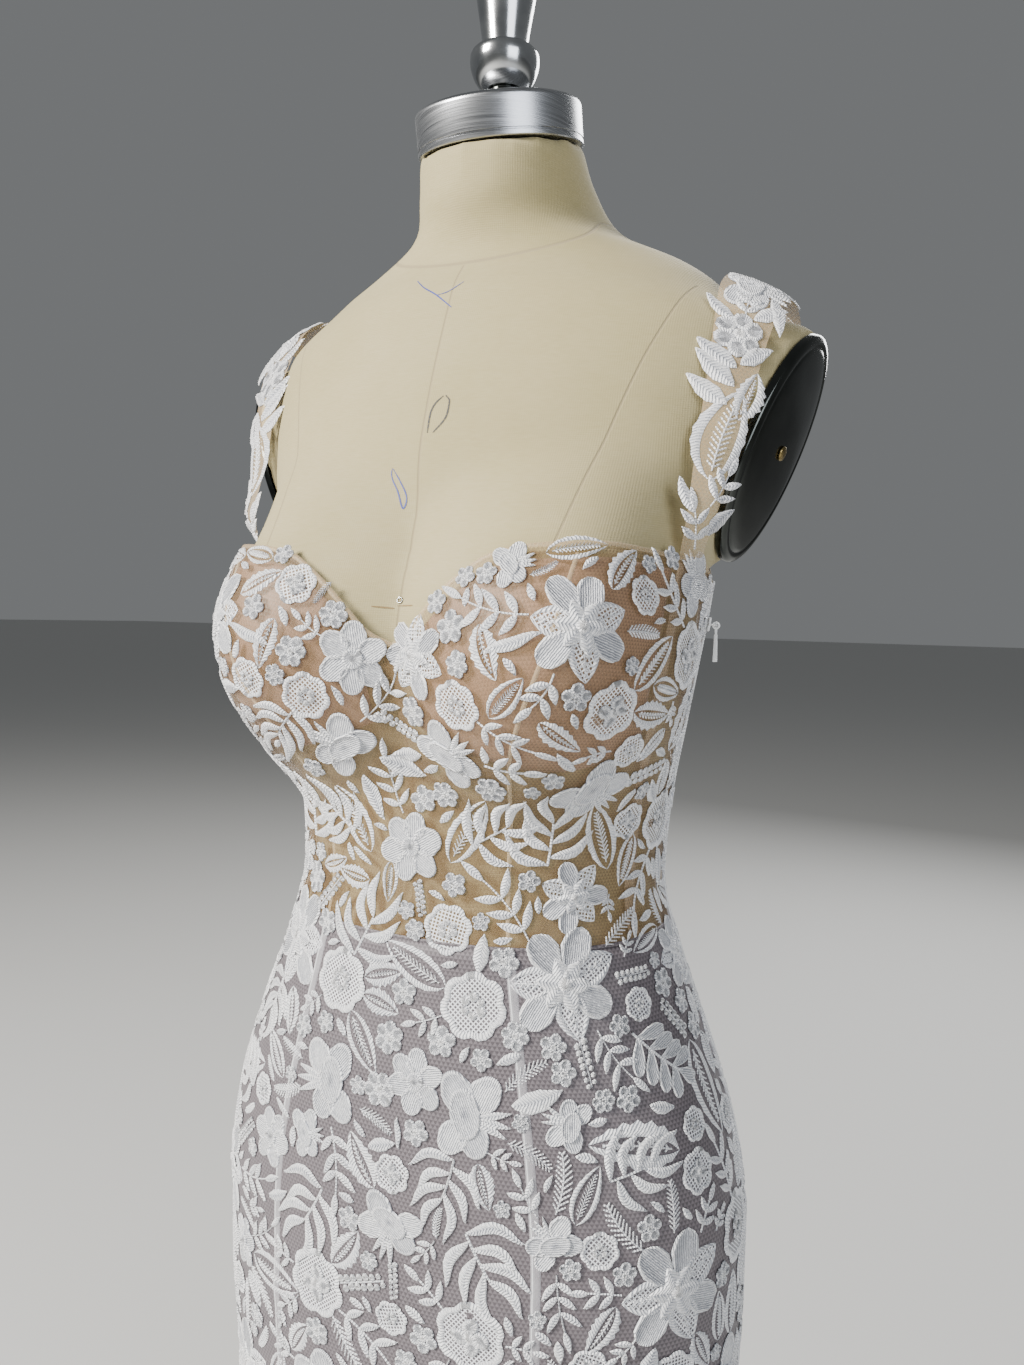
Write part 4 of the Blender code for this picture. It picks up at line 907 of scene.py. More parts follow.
def form_cover(finish):
    """The padded body in its linen cover, in one smooth piece from the thighs to the neck, with a rim
    of linen round each armhole. Distances to its sewn seams are kept for the linen's shading."""
    levels = np.append(np.arange(FORM_FOOT, NECK_TOP, FORM_ROW), NECK_TOP)
    angles = np.linspace(0, 2 * np.pi, FORM_COLUMNS, endpoint=False)
    parts = [closed_tube(form_surface(*np.meshgrid(angles, levels)))]
    centre, across, up, out = (np.array(v) for v in plate_frame())
    turns = np.linspace(0, 2 * np.pi, RIM_SIDES, endpoint=False)[:, None]
    rim = []
    for distance, share, width in ARM_RIM:
        ring = centre + out * distance + across * (PLATE_HALF_WIDTH * share + width) * np.cos(turns)
        rim.append(ring + up * (PLATE_HALF_HEIGHT * share + width) * np.sin(turns))
    rim, faces = closed_tube(np.array(rim))
    parts += [(rim, faces), (rim * (-1, 1, 1), faces[:, ::-1])]
    firsts = np.cumsum([0] + [len(points) for points, _ in parts])
    points = np.vstack([points for points, _ in parts])
    faces = np.vstack([faces + first for (_, faces), first in zip(parts, firsts)])
    body = new_piece("form_linen_body", points, faces, finish)
    voxels = body.modifiers.new("One skin", "REMESH")
    voxels.mode = "VOXEL"
    voxels.voxel_size = FORM_VOXEL
    smooth = body.modifiers.new("Soft", "SMOOTH")
    smooth.factor = 0.5
    smooth.iterations = 6
    select(body)
    for modifier in [m.name for m in body.modifiers]:
        bpy.ops.object.modifier_apply(modifier=modifier)
    body.data.shade_smooth()
    mark_seams(body)
    return body


# The linen's princess seam, up to the shoulder. Columns: level, x.
FORM_PRINCESS = (
    (0.100, 0.0860),
    (0.150, 0.0880),
    (0.2046, 0.0930),
    (0.2505, 0.1012),
    (0.300, 0.1152),
    (0.341, 0.1285),
    (0.358, 0.1320),
)
NECK_SEAM_LEVEL = 0.4070  # where it crosses the neck's sides
NECK_SEAM_Y = 0.016
NECK_SEAM_SLOPE = (0.60, 0.20)  # before and behind that
SHOULDER_Y = 0.012  # behind it the princess seam is hidden


def mark_seams(body):
    """Keeps signed distances in millimetres to the neck seam, centre front and back seam and princess
    seams."""
    points = np.empty(len(body.data.vertices) * 3)
    body.data.vertices.foreach_get("co", points)
    x, y, z = points.reshape(-1, 3).T
    level, behind = z - WAIST, y - NECK_SEAM_Y
    neck = level - NECK_SEAM_LEVEL - behind * np.where(behind < 0, *NECK_SEAM_SLOPE)
    middle = np.where(neck > 0, FAR_OFF, x)
    princess_off = np.abs(x) - smooth_table(FORM_PRINCESS)(level)[:, 0]
    princess_off[(level > FORM_PRINCESS[-1][0]) | (y > SHOULDER_Y)] = FAR_OFF
    for name, distance in zip(SEAM_MEASURES, (neck, middle, princess_off)):
        kept = body.data.attributes.new(name, "FLOAT", "POINT")
        kept.data.foreach_set("value", np.clip(distance / MM, -FAR_OFF, FAR_OFF))


# ---------------------------------------------------------------- turned and pressed metal
def ringed(name, rings, sides, finish, place=Matrix.Identity(4), sharp=30.0):
    """A solid modelled from a ring drawn up through its sections. Each ring is (half width, half
    depth, height), from its foot up."""
    made = added(bpy.ops.mesh.primitive_circle_add, name, finish, vertices=sides, radius=1.0)
    bpy.ops.object.mode_set(mode="EDIT")
    bpy.ops.mesh.select_all(action="SELECT")
    width, depth, height = rings[0]
    bpy.ops.transform.resize(value=(width, depth, 1), center_override=(0, 0, 0))
    bpy.ops.transform.translate(value=(0, 0, height))
    bpy.ops.mesh.edge_face_add()
    bpy.ops.mesh.select_all(action="SELECT")
    for wide, deep, high in rings[1:]:
        bpy.ops.mesh.extrude_region_move(TRANSFORM_OT_translate={"value": (0, 0, high - height)})
        bpy.ops.transform.resize(value=(wide / width, deep / depth, 1), center_override=(0, 0, 0))
        width, depth, height = wide, deep, high
    bpy.ops.mesh.select_all(action="SELECT")
    bpy.ops.mesh.normals_make_consistent(inside=False)
    bpy.ops.object.mode_set(mode="OBJECT")
    made.data.transform(place)
    if place.determinant() < 0:
        made.data.flip_normals()
    bpy.ops.object.shade_smooth_by_angle(angle=math.radians(sharp))
    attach(made, DRESS)
    return made


def round_rings(profile):
    """Rings of a turned solid from (radius, height) pairs."""
    return [(radius, radius, height) for radius, height in profile]


def rounded_profile(rows, steps):
    """A (radius, height) profile read smoothly between given points."""
    run = run_along(np.array(rows))
    read = smooth_table(np.column_stack([run, rows]))
    return [tuple(p) for p in read(np.linspace(0, run[-1], steps))]


# Profiles of the turned knob, from its foot up. Columns: radius, height above its foot.
BOWL_PROFILE = (
    (0.0118, 0.0000),
    (0.0152, 0.0022),
    (0.0184, 0.0058),
    (0.0208, 0.0108),
    (0.0221, 0.0160),
    (0.0222, 0.0196),
    (0.0214, 0.0222),
    (0.0190, 0.0240),
    (0.0158, 0.0250),
    (0.0146, 0.0256),
)
CROWN_PROFILE = (
    (0.0143, 0.0262),
    (0.0150, 0.0320),
    (0.0160, 0.0390),
    (0.0172, 0.0465),
    (0.0185, 0.0540),
    (0.0194, 0.0610),
    (0.0197, 0.0660),
    (0.0188, 0.0696),
    (0.0165, 0.0724),
    (0.0125, 0.0750),
    (0.0070, 0.0768),
    (0.0010, 0.0775),
)
# Profile of a plate, from its back out. Columns: share of its width, share of its thickness.
PLATE_DOME = (
    (1.000, 0.02),
    (1.000, 0.42),
    (0.992, 0.52),
    (0.970, 0.62),
    (0.930, 0.70),
    (0.885, 0.745),
    (0.872, 0.700),
    (0.862, 0.690),
    (0.850, 0.735),
    (0.800, 0.790),
    (0.700, 0.860),
    (0.560, 0.920),
    (0.400, 0.965),
    (0.220, 0.990),
    (0.080, 1.000),
)
PLATE_OVAL = 0.7  # its steps are this much narrower along its height than across
PLATE_OVAL_END = 0.6  # share of its width inside which they are alike
SCREW_PROFILE = ((0.0044, 0.0), (0.0045, 0.0006), (0.0042, 0.0012), (0.0034, 0.0016), (0.0018, 0.0019))
CAP_EDGE = 0.0035
# The cap's foot with its turned groove. Columns: depth inside the cap's radius, height.
CAP_GROOVE = ((0.0006, 0.0), (0.0, 0.0006), (0.0, 0.0030), (0.0005, 0.0034), (0.0005, 0.0040), (0.0, 0.0044))
CAP_MIDDLE_RADIUS = 0.004
STEM_SUNK = 0.004  # how far the knob's stem reaches into the cap
# The base plate with its hub, from the floor up. Columns: radius, height.
BASE_PROFILE = (
    (0.1985, 0.0005),
    (0.2000, 0.0020),
    (0.2000, 0.0048),
    (0.1975, 0.0078),
    (0.1900, 0.0096),
    (0.1200, 0.0118),
    (0.0440, 0.0136),
    (0.0370, 0.0150),
    (0.0342, 0.0185),
    (0.0340, 0.0330),
    (0.0330, 0.0368),
    (0.0300, 0.0392),
    (0.0270, 0.0398),
)
HUB_TOP = 0.0400
POLE_RADIUS = 0.0160
POLE_CHAMFER = 0.0005


def neck_hardware(steel, dark, polished):
    """The brushed cap on the neck, the knob's dark stem and the polished knob."""
    middle = float(shoulder_section(NECK_TOP)[SECTION_WIDEST])
    seat = Vector((0, middle, WAIST + NECK_TOP + math.tan(NECK_TILT) * middle))
    lean = Matrix.Rotation(NECK_TILT, 4, "X")
    place = Matrix.Translation(seat + lean @ Vector((0, 0, SEAM_GAP))) @ lean
    foot = [(NECK_CAP_RADIUS - depth, height) for depth, height in CAP_GROOVE]
    wide, high = NECK_CAP_RADIUS - CAP_EDGE, NECK_CAP_HEIGHT - CAP_EDGE
    turns = np.linspace(0, math.pi / 2, 7)
    edge = [(wide + CAP_EDGE * math.cos(a), high + CAP_EDGE * math.sin(a)) for a in turns]
    top = (CAP_MIDDLE_RADIUS, NECK_CAP_HEIGHT)
    cap = ringed("form_cap", round_rings([*foot, *edge, top]), 96, steel, place)
    slot_and_replace(cap, "steel", "form_neck_cap")
    foot_level = WAIST + NECK_TOP + NECK_CAP_HEIGHT - STEM_SUNK
    stem = [(FINIAL_STEM_RADIUS, foot_level), (FINIAL_STEM_RADIUS, FINIAL_FOOT - 0.0004)]
    upright = Matrix.Translation((0, FINIAL_Y, 0))
    stem = ringed("form_knob_stem", round_rings(stem), 48, dark, upright)
    slot_and_replace(stem, "dark_steel", "form_finial_stem")
    profile = rounded_profile(BOWL_PROFILE, 22) + rounded_profile(CROWN_PROFILE, 26)
    place = Matrix.Translation((0, FINIAL_Y, FINIAL_FOOT))
    knob = ringed("form_knob", round_rings(profile), 96, polished, place)
    slot_and_replace(knob, "steel", "form_finial")


def plate_height(share):
    """Half height of a plate where it is a share of its width."""
    rim = max(share, PLATE_OVAL_END)
    return PLATE_HALF_HEIGHT * (1 - PLATE_OVAL * (1 - rim)) * min(1.0, share / PLATE_OVAL_END)


def arm_plates(dark, brass):
    """The pressed plates that close the armholes, each with a groove inside its edge, held by a screw
    in its middle."""
    for side, name in SIDES:
        rings = [
            (PLATE_HALF_WIDTH * share, plate_height(share), SEAM_GAP + PLATE_THICKNESS * out)
            for share, out in PLATE_DOME
        ]
        place = plate_place(side)
        plate = ringed("form_plate_" + name, rings, 128, dark, place, sharp=50.0)
        slot_and_replace(plate, "dark_steel", "form_arm_plate_" + name)
        face = SEAM_GAP + PLATE_THICKNESS + SEAM_GAP
        head = round_rings([(radius, face + height) for radius, height in SCREW_PROFILE])
        screw = ringed("form_screw_" + name, head, 40, brass, place, sharp=35.0)
        slot_and_replace(screw, "brass_screw", "form_plate_screw_" + name)


def stand(steel):
    """The round base plate with its hub, and the pole up into the form."""
    base = ringed("stand_base_plate", round_rings(BASE_PROFILE), 128, steel)
    slot_and_replace(base, "steel", "stand_base")
    top, foot = WAIST + FORM_FOOT - SEAM_GAP, HUB_TOP + SEAM_GAP
    narrow = POLE_RADIUS - POLE_CHAMFER
    low, high = foot + POLE_CHAMFER, top - POLE_CHAMFER
    profile = ((narrow, foot), (POLE_RADIUS, low), (POLE_RADIUS, high), (narrow, top))
    pole = ringed("stand_tube", round_rings(profile), 64, steel)
    slot_and_replace(pole, "steel", "stand_pole")


# ---------------------------------------------------------------- studio
CAMERA_DISTANCE = 0.669
CAMERA_SWING = math.radians(25.0)
CAMERA_PITCH = math.radians(-3.6)
CAMERA_ROLL = math.radians(1.4)
CAMERA_SIDEWAYS = 0.0162
CAMERA_LEVEL = 0.1583
CAMERA_LENS = 26.91


def camera():
    """The camera close in front of the wearer's left shoulder."""
    right = Vector((math.cos(CAMERA_SWING), math.sin(CAMERA_SWING), 0))
    forward = Vector((-math.sin(CAMERA_SWING), math.cos(CAMERA_SWING), 0))
    up = Vector((0, 0, 1))
    place = Vector((math.sin(CAMERA_SWING), -math.cos(CAMERA_SWING), 0)) * CAMERA_DISTANCE
    place += right * CAMERA_SIDEWAYS + up * (WAIST + CAMERA_LEVEL)
    ahead = forward * math.cos(CAMERA_PITCH) + up * math.sin(CAMERA_PITCH)
    above = up * math.cos(CAMERA_PITCH) - forward * math.sin(CAMERA_PITCH)
    across = right * math.cos(CAMERA_ROLL) + above * math.sin(CAMERA_ROLL)
    above = above * math.cos(CAMERA_ROLL) - right * math.sin(CAMERA_ROLL)
    lens = bpy.data.cameras.new("shoulder camera")
    lens.lens = CAMERA_LENS
    lens.sensor_width = 36
    lens.sensor_fit = "AUTO"
    lens.clip_start = 0.01
    made = bpy.data.objects.new("shoulder camera", lens)
    made.matrix_world = axes_matrix(place, across, above, -ahead)
    bpy.context.scene.collection.objects.link(made)
    bpy.context.scene.camera = made


def lamp(name, place, size, watts, colour):
    """A soft square lamp that faces the chest."""
    light = bpy.data.lights.new(name, "AREA")
    light.size = size
    light.energy = watts
    light.color = linear(colour)[:3]
    made = bpy.data.objects.new(name, light)
    turn = (Vector(CHEST) - Vector(place)).to_track_quat("-Z", "Y")
    made.matrix_world = Matrix.Translation(place) @ turn.to_matrix().to_4x4()
    bpy.context.scene.collection.objects.link(made)
    return made


FLOOR_SIZE = 160.0
CHEST = (0.05, 0, 1.15)  # where the lamps point
AIR_GLOW = 0.31


def floor_paint():
    """Matt pale grey paint on a studio floor."""
    made, _, sockets = new_finish("matt pale grey floor paint", Roughness=0.75)
    sockets["Base Color"].default_value = linear("#C6C6C4")
    return made


def studio():
    """A plain pale floor and soft light, mostly from the wearer's right front."""
    floor = added(bpy.ops.mesh.primitive_plane_add, "floor", floor_paint(), size=FLOOR_SIZE)
    lamps = (
        lamp("key light", (-2.4, -3.2, 3.3), 1.4, 590, "#FFFBF5"),
        lamp("fill light", (3.2, -2.5, 1.9), 2.2, 84, "#F3F7FF"),
        lamp("back light", (0.6, 4.2, 3.4), 2.2, 170, "#FFFFFF"),
    )
    world = bpy.data.worlds.new("Studio air")
    bpy.context.scene.world = world
    world.use_nodes = True
    air = world.node_tree.nodes["Background"]
    air.inputs[0].default_value = linear("#C3C6C8")
    air.inputs[1].default_value = AIR_GLOW


# ---------------------------------------------------------------- seams, bones, edges and zip
SEWN_ON = {}  # pieces sewn on each sheet, by the sheet's name
# Cross sections of a strip. Columns: share of its half width, share of its height.
FLAT_STRIP = ((-1.0, 0.0), (-0.86, 1.0), (0.86, 1.0), (1.0, 0.0))
ROUND_STRIP = ((-1.0, 0.0), (-0.6, 0.8), (0.0, 1.0), (0.6, 0.8), (1.0, 0.0))
SEAM_STOP = 0.002  # how far seams stop from the waist seam
BONE_STOP = 0.004  # how far a bone stops under the neckline
BONE_DEPTH = 0.0016  # of a bone under the net
PRINCESS_TOP, SIDE_SEAM_TOP, BACK_SEAM_TOP = 0.192, 0.182, 0.081
EDGE_INSET = 0.0012  # of the neckline's binding
FRONT_SEAM_SHARE = 1.1  # of the width of the skirt's other seams
HEM_BAND_MIDDLE = 0.0095  # above the hem
ZIP_FOOT, ZIP_TOP = -0.165, 0.178
COIL_PITCH = 0.0011


def sewn(sheet_name, piece):
    SEWN_ON.setdefault(sheet_name, []).append(piece)


def section(shape, width, height):
    return [(side * width / 2, high * height) for side, high in shape]


def bodice_seams(channel, lining, net):
    """Bones under the net at the side-front seams, and the seams and edges of the bodice."""
    low = WAIST_SEAM + SEAM_STOP
    bone_top = float(neckline(math.radians(SIDE_FRONT_SEAM))) - BONE_STOP
    bone, wide_seam = section(FLAT_STRIP, 0.0095, 0.0006), section(ROUND_STRIP, 0.0034, 0.0006)
    fine_seam, edge = section(ROUND_STRIP, 0.0026, 0.0005), section(ROUND_STRIP, 0.0030, 0.0006)
    for side, name in SIDES:
        path = seam_line(fixed(side * SIDE_FRONT_SEAM), low, bone_top)
        piece = strip("bone_channel_" + name, path, bone, channel, lift=-BONE_DEPTH)
        sewn("bodice_side_front_" + name, piece)
        path = seam_line(princess if side > 0 else opposite(princess), low, PRINCESS_TOP)
        sewn("bodice_side_front_" + name, strip("princess_seam_" + name, path, fine_seam, net))
        path = seam_line(fixed(side * SIDE_SEAM), low, SIDE_SEAM_TOP)
        sewn("bodice_side_" + name, strip("side_seam_" + name, path, wide_seam, net))
        turns = np.radians(np.arange(0, 181, 1.2)) * side
        path = np.stack([turns, neckline(turns) - EDGE_INSET], -1)[::side]
        sewn("bodice_front", strip("neckline_edge_" + name, path, edge, net))
    path = seam_line(fixed(180.0), low, BACK_SEAM_TOP)
    sewn("bodice_back_left", strip("back_seam", path, wide_seam, net))
    waist = strip("waist_seam", round_line(WAIST_SEAM, 1.5), section(ROUND_STRIP, 0.0022, 0.0006), lining)
    sewn("skirt_front", waist)


def skirt_seams(binding, thread, width):
    """The bound seams of the skirt, each with a line of stitches, and its bound hem."""
    seams = (
        ("skirt_front", "seam_front_left", princess, width * FRONT_SEAM_SHARE),
        ("skirt_front", "seam_front_right", opposite(princess), width * FRONT_SEAM_SHARE),
        ("skirt_side_front_left", "seam_side_left", fixed(SIDE_SEAM), width),
        ("skirt_side_front_right", "seam_side_right", fixed(-SIDE_SEAM), width),
        ("skirt_back_left", "seam_back", fixed(180.0), width),
    )
    stitches = section(ROUND_STRIP, 0.0008, 0.0006)
    for sheet_name, name, azimuth_of, wide in seams:
        path = seam_line(azimuth_of, HEM + 0.003, WAIST_SEAM - SEAM_STOP, step=0.006)
        sewn(sheet_name, strip(name, path, section(FLAT_STRIP, wide, 0.0005), binding))
        line = surface_path(path, 0.3 * wide)
        sewn(sheet_name, strip(name + "_stitch", line, stitches, thread))
    path = round_line(HEM + HEM_BAND_MIDDLE, 1.0)
    sewn("skirt_front", strip("hem_band", path, section(FLAT_STRIP, 0.0180, 0.0007), binding))


def zip_tape(tape, enamel):
    """The zip's tape and its coil, down the left side seam."""
    path = seam_line(fixed(SIDE_SEAM), ZIP_FOOT, ZIP_TOP, step=COIL_PITCH)
    band = strip("zip_tape", path[::3], section(FLAT_STRIP, 0.0092, 0.0009), tape)
    sewn("skirt_side_front_left", band)
    teeth = 0.72 + 0.28 * (np.arange(len(path)) % 2)
    coil = strip("zip_coil", path, section(ROUND_STRIP, 0.0030, 0.0009), enamel, lift=0.0008, swell=teeth)
    sewn("skirt_side_front_left", coil)


def zip_frame():
    """A matrix whose +Y points out of the cloth and +Z up it, at the zip slider."""
    angle = math.radians(SIDE_SEAM)
    centre = Vector(cloth(angle, ZIP_SLIDER_LEVEL, 2 * SEAM_GAP))
    by_angle, by_level = tangents(angle, ZIP_SLIDER_LEVEL)
    up = Vector(by_level).normalized()
    out = Vector(by_angle).cross(up).normalized()
    return axes_matrix(centre, out.cross(up), out, up)


def zip_slider(place, enamel):
    """The slider's body, narrower at its foot, with a wire bail."""
    wide, thick, high = SLIDER_SIZE
    body = block("slider_body", (wide, thick * 0.62, high), (0, thick * 0.69, 0), 0.0009, enamel)
    for corner in body.data.vertices:
        corner.co.x *= 1.0 - 0.28 * (0.5 - corner.co.z / high)
    bar = thick + BAIL_REACH
    left, right = -BAIL_HALF_WIDTH, BAIL_HALF_WIDTH
    legs = [rod("bail_leg", (x, thick - BAIL_WIRE, 0), (x, bar, 0), enamel) for x in (left, right)]
    bail = rod("bail_bar", (left, bar, 0), (right, bar, 0), enamel)
    slider = joined_parts("zip_slider_body", [body, *legs, bail])
    slider.data.transform(place)
    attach(slider, DRESS)
    slot_and_replace(slider, "white_metal", "zip_slider")


def zip_pull(place, enamel):
    """The pull tab: a ring round the bail's bar, a neck and a grip that widens to its end. It hangs
    straight down."""
    pivot = place @ Vector((0, SLIDER_SIZE[1] + BAIL_REACH, 0))
    up, side = Vector((0, 0, 1)), place.to_3x3() @ Vector((1, 0, 0))
    side.z = 0
    side.normalize()
    ring = added(
        bpy.ops.mesh.primitive_torus_add, "pull_ring", enamel, major_segments=28, minor_segments=10,
        major_radius=0.0018, minor_radius=0.0007, rotation=(0, math.pi / 2, 0)
    )
    bpy.ops.object.transform_apply(location=True, rotation=True, scale=True)
    bpy.ops.object.shade_smooth()
    neck = block("pull_neck", (0.0011, 0.0016, 0.0040), (0, 0, -0.0039), 0.0004, enamel)
    grip = block("pull_grip", (0.0012, 0.0030, 0.0172), (0, 0, -0.0141), 0.0005, enamel)
    for corner in grip.data.vertices:
        low = min(1.0, max(0.0, (-0.0058 - corner.co.z) / 0.0166))
        corner.co.y *= 0.72 + 0.28 * low
    pull = joined_parts("zip_pull_tab", [ring, neck, grip])
    pull.data.transform(axes_matrix(pivot, side, up.cross(side), up))
    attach(pull, PULL)
    slot_and_replace(pull, "white_metal", "zip_pull")


def block(name, size, centre, round_edge, finish):
    """A box with rounded edges."""
    made = added(bpy.ops.mesh.primitive_cube_add, name, finish, size=1, location=centre)
    made.scale = size
    bpy.ops.object.transform_apply(location=True, rotation=True, scale=True)
    bpy.ops.object.mode_set(mode="EDIT")
    bpy.ops.mesh.select_all(action="SELECT")
    bpy.ops.mesh.bevel(offset=round_edge, segments=3, affect="EDGES")
    bpy.ops.object.mode_set(mode="OBJECT")
    bpy.ops.object.shade_smooth_by_angle(angle=math.radians(40))
    return made


def rod(name, start, end, finish):
    """A piece of the bail's wire that reaches a little past two points."""
    start, end = Vector(start), Vector(end)
    length = (end - start).length + 1.4 * BAIL_WIRE
    made = added(
        bpy.ops.mesh.primitive_cylinder_add, name, finish, vertices=14, radius=BAIL_WIRE, depth=length
    )
    turn = (end - start).to_track_quat("Z", "Y").to_matrix().to_4x4()
    made.data.transform(Matrix.Translation((start + end) / 2) @ turn)
    bpy.ops.object.shade_smooth_by_angle(angle=math.radians(50))
    return made


def joined_parts(name, parts):
    """One piece from several."""
    select(parts[0])
    for part in parts:
        part.select_set(True)
    bpy.ops.object.join()
    made = bpy.context.object
    made.name = made.data.name = name
    return made


# ---------------------------------------------------------------- pen marks and pin on the linen
# Lines drawn on the linen's front. Columns: name, pen, width (metres), points (x, level).
PEN_LINES = (
    ("pen_tick", "blue", 0.0009, (
        (-0.0300, 0.3625), (-0.0220, 0.3560), (-0.0120, 0.3500), (0.0020, 0.3395),
    )),
    ("pen_tick_tail", "blue", 0.0006, ((-0.0100, 0.3490), (-0.0040, 0.3500), (0.0060, 0.3560))),
    ("pen_loop", "blue", 0.0009, (
        (-0.0170, 0.2420), (-0.0120, 0.2350), (-0.0070, 0.2240), (-0.0085, 0.2190), (-0.0130, 0.2290),
        (-0.0180, 0.2400), (-0.0175, 0.2425),
    )),
    ("pen_oval_left", "black", 0.0011, (
        (0.0095, 0.2835), (0.0050, 0.2790), (0.0030, 0.2715), (0.0032, 0.2620),
    )),
    ("pen_oval_right", "black", 0.0011, (
        (0.0110, 0.2838), (0.0140, 0.2800), (0.0135, 0.2710), (0.0068, 0.2618),
    )),
    ("thread_dash_left", "thread", 0.0009, ((-0.0150, 0.1630), (-0.0030, 0.1622))),
    ("thread_dash_right", "thread", 0.0008, ((-0.0015, 0.1636), (0.0100, 0.1640))),
)
PEN_STEP = 0.0012
PEN_LIFT = 0.00025  # of the ink over the linen
PIN_SPOT = (-0.0005, 0.1668)


def on_linen(body, x, level):
    """The point of the linen's front at x and level, and the way out of it."""
    hit, spot, normal, _ = body.ray_cast(Vector((x, -0.4, WAIST + level)), Vector((0, 1, 0)))
    if not hit:
        raise RuntimeError("no linen at that spot")
    return spot, normal


def linen_marks(body, inks, steel):
    """The dressmaker's pen marks down the centre front, and a pin."""
    for name, ink, width, corners in PEN_LINES:
        corners = np.array(corners)
        run = run_along(corners)
        shares = np.linspace(0, run[-1], max(4, int(run[-1] / PEN_STEP)))
        if len(corners) > 2:
            flat = smooth_table(np.column_stack([run, corners]))(shares)
        else:
            flat = np.stack([np.interp(shares, run, c) for c in corners.T], -1)
        points = []
        spots = [on_linen(body, x, z) for x, z in flat]
        for i, (spot, normal) in enumerate(spots):
            ahead = spots[min(i + 1, len(spots) - 1)][0] - spots[max(i - 1, 0)][0]
            side = ahead.cross(normal).normalized() * width / 2
            taper = 0.35 + 0.65 * math.sin(math.pi * (i + 0.5) / len(spots)) ** 0.5
            points.append([spot + normal * PEN_LIFT + side * taper * way for way in (-1, 0, 1)])
        grid_piece(name, np.array(points), inks[ink])
    spot, normal = on_linen(body, *PIN_SPOT)
    pin = added(
        bpy.ops.mesh.primitive_torus_add, "pin_eye", steel, major_segments=20, minor_segments=8,
        major_radius=0.0016, minor_radius=0.00035
    )
    turn = normal.to_track_quat("Z", "Y").to_matrix().to_4x4()
    pin.data.transform(Matrix.Translation(spot + normal * 0.0005) @ turn)
    bpy.ops.object.shade_smooth()
    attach(pin, DRESS)


# ---------------------------------------------------------------- lace motifs, flat, in millimetres
class Motif:
    """A flat piece of lace: points (x, y, height), quads, each point's stitch coordinate and shade,
    and which quads are open filling. The shade is painted light: a level of painted shade and painted
    highlight, not the thread's own colour. Round motifs are drawn about their centre, long ones upwards
    from their foot. Headings are degrees clockwise from up."""

    def __init__(self, size):
        self.size = size
        self.points, self.quads, self.marks, self.open = [], [], [], []
        self.count = 0

    def add(self, points, quads, marks, is_open=False):
        self.points.append(np.asarray(points, float))
        self.quads.append(np.asarray(quads, np.int32) + self.count)
        self.marks.append(np.asarray(marks, float))
        self.open.append(np.full(len(quads), is_open))
        self.count += len(points)

    def done(self):
        self.points, self.quads = np.vstack(self.points), np.vstack(self.quads)
        self.marks, self.open = np.vstack(self.marks), np.concatenate(self.open)
        return self


CORD = 1.25  # height of the corded outlines, in millimetres
LEAF_ROWS = np.array([0.0, 0.08, 0.20, 0.33, 0.46, 0.59, 0.72, 0.84, 0.93, 1.0])
PETAL_ROWS = np.array([0.0, 0.16, 0.36, 0.56, 0.72, 0.85, 0.94, 1.0])
# Cross sections of a leaf, petal and blade. Rows: share of its half width, height, added shade,
# which is painted highlight on the raised cords and painted shade in the valleys.
LEAF_SECTION = (
    (-1.0, -0.74, 0.0, 0.74, 1.0),
    (0.25, 1.10, 0.55, 1.10, 0.25),
    (0.20, 0.42, -0.10, 0.42, 0.20),
)
PETAL_SECTION = (
    (-1.0, -0.88, -0.72, 0.0, 0.72, 0.88, 1.0),
    (0.30, 1.20, 0.50, 0.75, 0.50, 1.20, 0.30),
    (0.30, 0.62, -0.10, 0.00, -0.10, 0.62, 0.30),
)
BLADE_SECTION = ((-1.0, 0.0, 1.0), (0.20, 1.00, 0.20), (0.1, 0.35, 0.1))


def toward(aim):
    """The flat direction of a heading in radians."""
    return np.array((math.sin(aim), math.cos(aim)))


def scallop(angle, lobes, notch):
    """Reach of a scalloped rim at each angle, with notches between its lobes."""
    return 1 - notch * (1 - np.abs(np.cos(lobes * angle / 2)) ** 0.7)


def spine(start, heading, length, bend, shares, sway=0.0):
    """Points and headings (radians) along a line that bends by a number of degrees and sways by
    another to one side and back."""

    def turned(share):
        return np.radians(heading + bend * (share - 0.5) + sway * np.sin(2 * np.pi * share))

    fine = np.linspace(0, 1, 33)
    step = np.stack([np.sin(turned(fine)), np.cos(turned(fine))], 1)
    run = np.vstack([[0, 0], np.cumsum((step[1:] + step[:-1]) / 2 * length / 32, axis=0)])
    points = np.stack([np.interp(shares, fine, run[:, 0]), np.interp(shares, fine, run[:, 1])], 1)
    return points + start, turned(shares)


